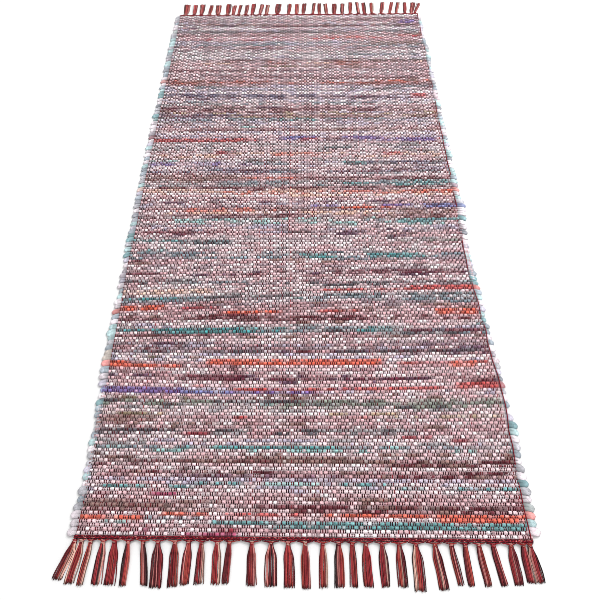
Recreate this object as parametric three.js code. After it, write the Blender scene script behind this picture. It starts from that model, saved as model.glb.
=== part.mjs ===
// A kilim runner lying flat: ribbed cloth, a tight heading at each end and knotted warp tassels.
// Millimetres. X runs across the rug and Y along it, with the near end at -Y and +Z up.
// The origin is on the floor, under the middle of the rug.
import * as THREE from "three";
import { mergeVertices } from "three/addons/utils/BufferGeometryUtils.js";

// The cloth
const WOVEN_LENGTH = 1400; // from the outer edge of one heading to that of the other
const EDGE_WARP = 338; // from the rug's middle line to the outermost warp on each side
const SIDE_BOW = 2.5; // the rug's middle lies this far left of its mean line, and its ends as far right
const NEAR_TILT = 5; // how far the near end's right corner lies out, and its left corner in
const FAR_TILT = 2; // the same at the far end
const CLOTH_HEIGHT = 6; // at the crest of a pick
const RIB_DEPTH = 1.4; // from the crest of a pick down to the line between two picks
const PICKS = 232; // rows of weft between the headings
const WEFT_OPENING = 0.04; // picks lie closer by this share at the near end and wider at the far end

// The turned weft along both sides: one loop for every two picks
const LOOP_REACH = 11.5; // how far a loop stands outside the outermost warp
const LOOP_NOTCH = 0.3; // the share of that reach which is lost between two loops
const LOOP_UNEVEN = 0.13; // the share by which the loops' reach varies
const RIM_HEIGHT = 3.8; // of a loop's outer side, at its middle
const RIM_NOTCH = 0.25; // the share of that height which is lost between two loops

// The headings
const GAP = 0.3; // between two pieces that touch on the real rug
const HEADING_WIDTH = 4.5;
const HEADING_HEIGHT = 5.4;
const HEADING_BEVEL = 1.2;

// The knots, and the web of gathered warps that joins them along the heading
const WEB_WIDTH = 2.7;
const WEB_HEIGHT = 3;
const KNOT_LENGTH = 6.8; // from the heading to where the locks leave the knot
const KNOT_WIDTH = 7.2;
const KNOT_HEIGHT = 5.8;
const KNOT_FOOT = 1.2; // how far a knot's sides run out into the web
const WALL_SHARE = 0.58; // the outer wall's height, as a share of the height behind it
const CROWN_SETBACK = 0.3; // how far the top stands back from that wall, as a share of the width there

// The tassels, each of a few locks
const LOCKS = 4;
const ROOT_PITCH = 1.75; // between the middles of two locks where they leave their knot
const LOCK_FILL = 0.83; // a lock's width, as a share of the pitch of the locks around it
const TIP_UNEVEN = 1.4; // how much the locks of a tassel vary in length
const LOCK_STATIONS = table(
  ["along", "spread", "height"],
  [
    [0, 0, 2.9],
    [0.4, 0.8, 3.1],
    [1, 1, 2.3],
  ],
);

// Each tassel's knot and the middle of its tips, across the rug from its middle line, its width over
// the tips, and how far the tips lie from the woven edge
const TASSEL_COLUMNS = ["knot", "tips", "spread", "reach"];
const NEAR_TASSELS = table(TASSEL_COLUMNS, [
  [-336, -351, 15, 56],
  [-326, -334, 13, 61],
  [-312, -318, 10, 63],
  [-294, -295, 13, 62],
  [-277, -276, 15, 62],
  [-257, -257, 10, 63],
  [-235, -226, 10, 62],
  [-213, -210, 18, 65],
  [-188, -186, 14, 64],
  [-168, -169, 13, 61],
  [-149, -149, 12, 60],
  [-126, -125, 13, 60],
  [-108, -111, 10, 59],
  [-75, -74, 13, 61],
  [-47, -46, 17, 62],
  [-22, -20, 15, 63],
  [3, 4, 13, 64],
  [29, 29, 12, 63],
  [52, 52, 14, 62],
  [72, 73, 10, 62],
  [92, 93, 13, 61],
  [116, 117, 13, 61],
  [141, 142, 13, 61],
  [165, 165, 16, 66],
  [193, 199, 14, 64],
  [217, 223, 9, 58],
  [237, 238, 10, 59],
  [257, 262, 10, 59],
  [278, 285, 10, 58],
  [304, 306, 14, 57],
  [322, 323, 11, 54],
  [332, 336, 13, 54],
]);
const FAR_TASSELS = table(TASSEL_COLUMNS, [
  [-322, -322, 17, 61],
  [-298, -299, 12, 59],
  [-278, -278, 13, 61],
  [-255, -252, 10, 57],
  [-231, -232, 16, 57],
  [-203, -202, 13, 62],
  [-187, -185, 10, 56],
  [-172, -168, 9, 57],
  [-152, -149, 11, 57],
  [-133, -130, 12, 63],
  [-112, -106, 11, 60],
  [-93, -90, 11, 57],
  [-62, -58, 16, 60],
  [-30, -26, 10, 62],
  [-7, -5, 13, 60],
  [12, 17, 12, 63],
  [39, 45, 9, 64],
  [58, 59, 10, 63],
  [78, 77, 10, 61],
  [100, 102, 13, 60],
  [123, 126, 11, 61],
  [146, 150, 9, 68],
  [170, 168, 9, 68],
  [187, 187, 11, 65],
  [208, 210, 10, 65],
  [234, 243, 12, 66],
  [258, 269, 10, 66],
  [277, 288, 10, 66],
  [302, 307, 10, 65],
  [320, 331, 13, 64],
  [330, 348, 9, 60],
]);

const NEAR = { side: -1, tilt: NEAR_TILT, tassels: NEAR_TASSELS, tipSeries: 3000 };
const FAR = { side: 1, tilt: FAR_TILT, tassels: FAR_TASSELS, tipSeries: 4000 };
const LEFT = { side: -1, firstPick: 0, loopSeries: 1000 };
const RIGHT = { side: 1, firstPick: 1, loopSeries: 2000 };

const CLOTH = { color: 0xa58d93, roughness: 0.95, metalness: 0 };
const HEADING_YARN = { color: 0x74141f, roughness: 0.9, metalness: 0 };
const WARP_YARN = { color: 0x8a2b2d, roughness: 0.9, metalness: 0 };

function table(columns, rows) {
  return rows.map((row) => Object.fromEntries(columns.map((name, i) => [name, row[i]])));
}

const { lerp } = THREE.MathUtils;

// A number from -1 to 1, always the same for one index
const uneven = (index) => 2 * THREE.MathUtils.seededRandom(index) - 1;

// The x of the rug's middle line at y
const middleLine = (y) => -SIDE_BOW * Math.cos((2 * Math.PI * y) / WOVEN_LENGTH);

// The y at x of a line across the rug that lies this far outside the woven end
const endLine = (end, x, outside) =>
  end.side * (WOVEN_LENGTH / 2 + outside + (end.tilt * x) / EDGE_WARP);

// A point at an end, by its distance from the middle line there and from the woven edge
function endPoint(end, across, outside, z) {
  const x = middleLine((end.side * WOVEN_LENGTH) / 2) + across;
  return [x, endLine(end, x, outside), z];
}

// The faces between two rings of points, one for each side of the rings
const sideFaces = (ring, next) =>
  ring.map((point, i) => {
    const j = (i + 1) % ring.length;
    return [point, ring[j], next[j], next[i]];
  });

// The faces of a closed form through rings with equal numbers of points
function loft(rings) {
  const sides = rings.slice(1).flatMap((next, i) => sideFaces(rings[i], next));
  return [[...rings[0]].reverse(), ...sides, rings.at(-1)];
}

// A flat or nearly flat face of any outline, as triangles that all turn the way its points do
function triangles(face) {
  const points = face.map((p) => new THREE.Vector3(...p));
  const normal = new THREE.Vector3();
  points.forEach((p, i) => normal.add(p.clone().cross(points[(i + 1) % points.length])));
  const drop = [0, 1, 2].reduce((a, b) => (abs(normal, b) > abs(normal, a) ? b : a), 0);
  const kept = [0, 1, 2].filter((axis) => axis !== drop);
  const outline = face.map((p) => new THREE.Vector2(p[kept[0]], p[kept[1]]));
  return THREE.ShapeUtils.triangulateShape(outline, []).map((corners) => {
    const [a, b, c] = corners.map((i) => points[i]);
    const turn = b.clone().sub(a).cross(c.clone().sub(a)).dot(normal);
    return turn < 0 ? [a, c, b] : [a, b, c];
  });
}

const abs = (vector, axis) => Math.abs(vector.getComponent(axis));

// A closed geometry of faces that all turn the same way, turned so that they point outwards
function solid(faces) {
  const all = faces.flatMap(triangles);
  const volume = all.reduce((sum, [a, b, c]) => sum + a.dot(b.clone().cross(c)), 0);
  if (volume < 0) all.forEach((triangle) => triangle.reverse());
  const geometry = new THREE.BufferGeometry().setFromPoints(all.flat());
  return mergeVertices(geometry);
}

// Where the turned weft ends at one side: x and height, at a place counted in picks. The shuttle
// turns at the left and the right by turns, so the loops of the right side start one pick later.
function rim(edge, pick, y) {
  const place = (pick - edge.firstPick) / 2;
  const loop = Math.floor(place);
  const hollow = 1 - Math.sin(Math.PI * (place - loop));
  const reach = LOOP_REACH * (1 + LOOP_UNEVEN * uneven(edge.loopSeries + loop));
  return {
    x: middleLine(y) + edge.side * (EDGE_WARP + reach * (1 - LOOP_NOTCH * hollow)),
    height: RIM_HEIGHT * (1 - RIM_NOTCH * hollow),
  };
}

// The cloth: a section at the crest of every pick and at every line between two picks
function wovenField() {
  const outside = -HEADING_WIDTH - GAP;
  const rings = [];
  for (let station = 0; station <= 2 * PICKS; station++) {
    const pick = station / 2;
    const share = pick / PICKS;
    const along = share - WEFT_OPENING * share * (1 - share);
    const yAt = (x) => lerp(endLine(NEAR, x, outside), endLine(FAR, x, outside), along);
    const top = station % 2 ? CLOTH_HEIGHT : CLOTH_HEIGHT - RIB_DEPTH;
    const middle = middleLine(yAt(0));
    const left = rim(LEFT, pick, yAt(-EDGE_WARP));
    const right = rim(RIGHT, pick, yAt(EDGE_WARP));
    const section = [
      [left.x, 0],
      [right.x, 0],
      [right.x, right.height],
      [middle + EDGE_WARP, top],
      [middle - EDGE_WARP, top],
      [left.x, left.height],
    ];
    rings.push(section.map(([x, z]) => [x, yAt(x), z]));
  }
  return solid(loft(rings));
}

// A heading: a straight bar with bevelled upper edges
function heading(end) {
  const section = [
    [-HEADING_WIDTH, 0],
    [0, 0],
    [0, HEADING_HEIGHT - HEADING_BEVEL],
    [-HEADING_BEVEL, HEADING_HEIGHT],
    [HEADING_BEVEL - HEADING_WIDTH, HEADING_HEIGHT],
    [-HEADING_WIDTH, HEADING_HEIGHT - HEADING_BEVEL],
  ];
  const ringAt = (across) => section.map(([outside, z]) => endPoint(end, across, outside, z));
  return solid(loft([ringAt(-EDGE_WARP), ringAt(EDGE_WARP)]));
}

// A section through the web or a knot: flat below, with a low outer wall and a set-back top
function backingRing(end, across, width, height) {
  const section = [
    [GAP, 0],
    [GAP + width, 0],
    [GAP + width, height * WALL_SHARE],
    [GAP + width * (1 - CROWN_SETBACK), height],
    [GAP, height],
  ];
  return section.map(([outside, z]) => endPoint(end, across, outside, z));
}

// A knot's four sections: the web on its left, its own two sides, and the web on its right
function knotRings(end, tassel) {
  const half = KNOT_WIDTH / 2;
  const web = (across) => backingRing(end, tassel.knot + across, WEB_WIDTH, WEB_HEIGHT);
  const side = (across) => backingRing(end, tassel.knot + across, KNOT_LENGTH, KNOT_HEIGHT);
  return [web(-half - KNOT_FOOT), side(-half), side(half), web(half + KNOT_FOOT)];
}

// A lock's sections from its knot to its tip: three points each, with the flat side on the floor. All
// locks of a tassel lean along the same line, whatever their length, so none crosses another.
function lockRings(end, tassel, number) {
  const offset = number - (LOCKS - 1) / 2;
  const index = end.tassels.indexOf(tassel) * LOCKS + number;
  const root = GAP + KNOT_LENGTH;
  const length = tassel.reach - root;
  const ownLength = length - TIP_UNEVEN * (1 + uneven(end.tipSeries + index));
  return LOCK_STATIONS.map(({ along, spread, height }) => {
    const pitch = spread ? (tassel.spread * spread) / LOCKS : ROOT_PITCH;
    const lean = (along * ownLength) / length;
    const middle = lerp(tassel.knot, tassel.tips, lean) + offset * pitch;
    const half = (pitch * LOCK_FILL) / 2;
    const outside = root + along * ownLength;
    return [
      endPoint(end, middle + half, outside, 0),
      endPoint(end, middle - half, outside, 0),
      endPoint(end, middle, outside, height),
    ];
  });
}

// The faces of a knot and its locks. The locks grow out of the knot's outer wall and floor, so both
// of those faces go round the locks' roots.
function knotFaces(end, tassel, left, right) {
  const locks = Array.from({ length: LOCKS }, (_, number) => lockRings(end, tassel, number));
  const roots = locks.map((rings) => rings[0]);
  const [under, wall, ...rest] = sideFaces(left, right);
  const floorCorners = roots.flatMap(([rightCorner, leftCorner]) => [leftCorner, rightCorner]);
  const wallCorners = [...roots].reverse().flatMap(([r, l, apex]) => [r, apex, l]);
  const floorFace = [under[0], under[1], ...floorCorners, under[2], under[3]];
  const lockFaces = locks.flatMap((rings) => loft(rings).slice(1));
  return [floorFace, [...wall, ...wallCorners], ...rest, ...lockFaces];
}

// One end's fringe: the web with its knots, and the locks that are fused to them
function fringe(end) {
  const rings = end.tassels.flatMap((tassel) => knotRings(end, tassel));
  const sides = rings.slice(1).flatMap((next, i) => {
    const tassel = end.tassels[Math.floor(i / 4)];
    return i % 4 === 1 ? knotFaces(end, tassel, rings[i], next) : sideFaces(rings[i], next);
  });
  return solid([[...rings[0]].reverse(), ...sides, rings.at(-1)]);
}

function piece(name, geometry, finish) {
  geometry.computeVertexNormals();
  const mesh = new THREE.Mesh(geometry, new THREE.MeshStandardMaterial(finish));
  mesh.name = name;
  return mesh;
}

const rug = new THREE.Group();
rug.add(
  piece("woven_field", wovenField(), CLOTH),
  piece("heading_near", heading(NEAR), HEADING_YARN),
  piece("heading_far", heading(FAR), HEADING_YARN),
  piece("fringe_near", fringe(NEAR), WARP_YARN),
  piece("fringe_far", fringe(FAR), WARP_YARN),
);

export default rug;
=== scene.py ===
"""A kilim runner, woven of cut cotton strips over dark red warps, with knotted warp tassels.

Tables are in millimetres and everything else is in metres. X runs across the rug and Y along it,
with the near end at -Y and the floor at Z = 0, as in the packed frame. Places along the cloth are
counted in picks, the rows of weft, from the near heading, and places across it from its middle
line, so every piece goes through the same function to its point on the floor.
"""

import math

import bpy
import numpy as np
from bpy.props import FloatProperty, FloatVectorProperty, IntProperty, PointerProperty
from mathutils import Matrix, Vector


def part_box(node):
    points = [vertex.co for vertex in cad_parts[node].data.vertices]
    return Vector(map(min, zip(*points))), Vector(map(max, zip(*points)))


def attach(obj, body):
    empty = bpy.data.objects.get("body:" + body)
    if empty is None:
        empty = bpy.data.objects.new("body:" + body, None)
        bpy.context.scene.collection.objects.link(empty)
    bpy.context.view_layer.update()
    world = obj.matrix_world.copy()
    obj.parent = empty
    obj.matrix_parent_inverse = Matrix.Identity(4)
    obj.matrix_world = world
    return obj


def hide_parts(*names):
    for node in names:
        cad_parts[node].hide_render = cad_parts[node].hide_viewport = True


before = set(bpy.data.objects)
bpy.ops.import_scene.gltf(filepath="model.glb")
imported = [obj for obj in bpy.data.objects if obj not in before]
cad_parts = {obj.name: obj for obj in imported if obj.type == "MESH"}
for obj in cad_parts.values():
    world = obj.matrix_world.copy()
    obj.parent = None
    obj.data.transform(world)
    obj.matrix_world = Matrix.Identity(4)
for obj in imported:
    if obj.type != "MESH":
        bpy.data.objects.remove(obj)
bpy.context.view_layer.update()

bl_info = {
    "name": "Kilim Rug",
    "version": (1, 0, 0),
    "blender": (4, 5, 0),
    "location": "3D View > Sidebar > Kilim Rug",
    "description": "Weaves a striped kilim runner with turned sides, headings and knotted tassels",
    "category": "Add Mesh",
}

MM = 0.001
BODY = "root"
CLOTH_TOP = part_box("woven_field")[1].z
HEADING_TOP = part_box("heading_near")[1].z
KNOT_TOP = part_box("fringe_near")[1].z

# Colours of the cut strips, as sRGB
STRIP_COLOURS = {
    "white": "f9e6eb",
    "blush": "f0d4d9",
    "pink": "dcb4ba",
    "rose": "c0969c",
    "lilac": "c6bacd",
    "mauve": "a9939c",
    "grey": "aca6aa",
    "slate": "7f909a",
    "charcoal": "55535a",
    "aqua": "a9d4d2",
    "teal": "3f9a9c",
    "deep_teal": "25555c",
    "moss": "8d9489",
    "olive": "7b7146",
    "sand": "c4ac92",
    "peach": "efc4b2",
    "coral": "e0705c",
    "orange": "ee5526",
    "red": "ca3029",
    "crimson": "a51f33",
    "magenta": "a8265e",
    "burgundy": "6d1a33",
    "maroon": "6b2e38",
    "brown": "977570",
    "brick": "9c5144",
    "umber": "4b302b",
    "plum": "6a4a60",
    "violet": "6f54a8",
    "blue": "5f70b8",
    "navy": "333c66",
}

# Colours of the warp yarns, by the letter that stands for each in the tassels' tables
WARP_LETTERS = {
    "c": "warp_crimson",
    "b": "warp_brick",
    "m": "warp_maroon",
    "k": "warp_soot",
    "e": "warp_flax",
    "p": "warp_shell",
}
WARP_COLOURS = {
    "warp_crimson": "94202b",
    "warp_brick": "a03a34",
    "warp_maroon": "640d1f",
    "warp_soot": "3a101b",
    "warp_flax": "c8a092",
    "warp_shell": "c77c78",
}
WARPS_IN_CLOTH = "mmmmmmmkkkkc"  # how often each warp colour comes in the cloth


def table(columns, rows):
    """Rows of values as dictionaries, by the names of their columns."""
    return [dict(zip(columns, row)) for row in rows]


# How far a pick lies from a line parallel to the ends, at the left edge, the middle and the right
# edge
PICK_BOW = table(["y", "left", "middle", "right"], [
    [-700, 0, 0, 0],
    [-640, 2, 0, 0],
    [-560, 0, 0, 2],
    [-450, -1, -3, 5],
    [-409, 2, -1, 5],
    [-345, -5, 1, 5],
    [-268, -8, 3, 9],
    [-207, -7, 0, 5],
    [-132, 1, -1, 2],
    [-75, -5, 0, 6],
    [0, -1, 0, 4],
    [60, 0, 0, 4],
    [178, -2, 0, 0],
    [290, 4, -2, -2],
    [390, 3, -4, 0],
    [484, -2, 0, -2],
    [530, 0, 0, 3],
    [645, 6, -3, 2],
    [700, 0, 0, 0],
])

# Small waves that carry the warps out of line: their size, and how often they come in a metre
WANDER = table(["size", "per_across", "per_along", "start"], [
    [0.45, 2.1, 3.4, 0.10],
    [0.35, 5.3, -4.1, 0.63],
    [0.25, 9.7, 6.8, 0.37],
    [0.18, 17.0, 9.3, 0.85],
])

# The strips that make up the ground of the cloth, up to each y
GROUND = table(["until", "strips"], [
    [-687, "white white pink blush pink"],
    [-676, "blush pink rose pink white"],
    [-660, "blush pink pink white"],
    [-650, "brown rose maroon rose blush"],
    [-640, "pink rose blush pink brown"],
    [-629, "white blush pink pink rose"],
    [-616, "blush white pink lilac blush"],
    [-607, "blush lilac pink white plum"],
    [-599, "blush rose brown pink maroon"],
    [-588, "white blush blush pink blush"],
    [-579, "maroon maroon brown blush rose"],
    [-568, "white blush blush pink brown"],
    [-557, "slate aqua blush white blush"],
    [-547, "white blush lilac blush grey"],
    [-538, "blush pink white blush rose"],
    [-528, "blush grey charcoal rose pink"],
    [-518, "blush rose pink brown white"],
    [-507, "pink rose blush pink white"],
    [-498, "blush pink sand white"],
    [-490, "white blush blush grey blush"],
    [-478, "moss charcoal blush grey moss"],
    [-466, "blush pink white blush brown"],
    [-456, "blush pink lilac white rose"],
    [-446, "white pink blush blush"],
    [-438, "blush plum rose pink blush"],
    [-429, "blush rose plum pink rose"],
    [-416, "white blush pink rose"],
    [-403, "pink rose pink blush"],
    [-389, "white white blush lilac"],
    [-379, "plum rose blush maroon mauve"],
    [-368, "mauve plum blush rose lilac"],
    [-358, "blush pink white blush"],
    [-347, "brown blush rose pink white"],
    [-338, "slate charcoal rose grey"],
    [-328, "white blush grey lilac blush"],
    [-318, "white pink blush blush brown"],
    [-308, "maroon brown blush rose pink"],
    [-290, "rose pink blush pink"],
    [-279, "pink mauve blush brown rose"],
    [-268, "slate blush grey mauve"],
    [-258, "white white grey blush"],
    [-240, "white white pink blush"],
    [-229, "grey charcoal blush mauve pink"],
    [-218, "white pink blush rose blush"],
    [-208, "pink rose blush plum blush"],
    [-190, "blush pink white mauve"],
    [-178, "blush pink brown rose blush"],
    [-168, "grey blush mauve slate"],
    [-158, "slate blush grey white blush"],
    [-148, "blush mauve pink grey blush"],
    [-129, "white white blush white pink"],
    [-118, "white blush grey blush mauve"],
    [-108, "rose blush plum pink blush"],
    [-98, "mauve blush plum pink lilac"],
    [-88, "pink blush mauve lilac blush"],
    [-78, "white blush aqua grey blush"],
    [-68, "aqua slate blush grey pink"],
    [-58, "pink maroon rose mauve blush"],
    [-48, "white pink blush peach"],
    [-38, "rose brown pink mauve coral"],
    [-28, "white blush pink lilac"],
    [-18, "blush mauve pink white plum"],
    [-6, "white pink rose pink"],
    [12, "white white peach blush"],
    [22, "maroon rose brown blush pink"],
    [32, "slate blush grey mauve white"],
    [42, "grey blush mauve white slate"],
    [52, "rose brown pink mauve blush"],
    [62, "blush pink white rose blush"],
    [73, "mauve lilac blush slate"],
    [83, "white blush lilac pink"],
    [92, "white blush lilac mauve"],
    [102, "lilac grey blush white"],
    [112, "white blush grey pink"],
    [121, "white peach pink blush"],
    [132, "white white peach blush pink"],
    [142, "white blush pink grey"],
    [152, "white blush grey lilac blush"],
    [164, "white blush white grey"],
    [185, "pink mauve lilac blush"],
    [192, "lilac blush pink blush"],
    [202, "white white lilac blush"],
    [212, "blush brown mauve rose blush"],
    [222, "white lilac blush pink"],
    [232, "lilac white blush mauve"],
    [242, "lilac grey blush mauve"],
    [252, "slate blush lilac grey"],
    [262, "sand mauve brown rose blush"],
    [272, "blush lilac sand mauve"],
    [284, "blush maroon rose brown pink"],
    [294, "brown rose blush plum pink"],
    [302, "white rose pink grey"],
    [312, "white grey slate blush"],
    [322, "white lilac blush lilac"],
    [332, "lilac mauve blush plum"],
    [342, "blush lilac white mauve"],
    [354, "white white blush lilac"],
    [364, "grey lilac blush mauve"],
    [374, "lilac white grey blush"],
    [384, "rose brown pink mauve"],
    [398, "rose brown coral pink"],
    [408, "blush brown mauve pink"],
    [422, "pink rose mauve blush"],
    [433, "white pink blush pink"],
    [442, "plum mauve blush grey"],
    [453, "blush pink blush rose"],
    [463, "pink rose blush mauve"],
    [474, "pink blush peach pink"],
    [484, "rose mauve brown blush"],
    [492, "pink mauve grey blush"],
    [504, "white white lilac"],
    [514, "white grey blush white"],
    [524, "white blush white grey"],
    [534, "blush mauve pink white"],
    [544, "mauve blush rose lilac"],
    [552, "slate blush grey lilac"],
    [562, "slate blush lilac grey"],
    [572, "white lilac white pink"],
    [583, "pink pink pink blush"],
    [594, "pink rose pink blush"],
    [604, "rose pink blush brown"],
    [614, "mauve grey blush rose"],
    [622, "grey mauve lilac mauve"],
    [634, "lilac pink blush white"],
    [644, "rose plum blush mauve"],
    [652, "rose mauve brown lilac"],
    [662, "blush lilac pink mauve"],
    [672, "mauve rose mauve pink"],
    [682, "rose pink mauve blush"],
    [700, "blush pink peach white"],
])

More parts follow.
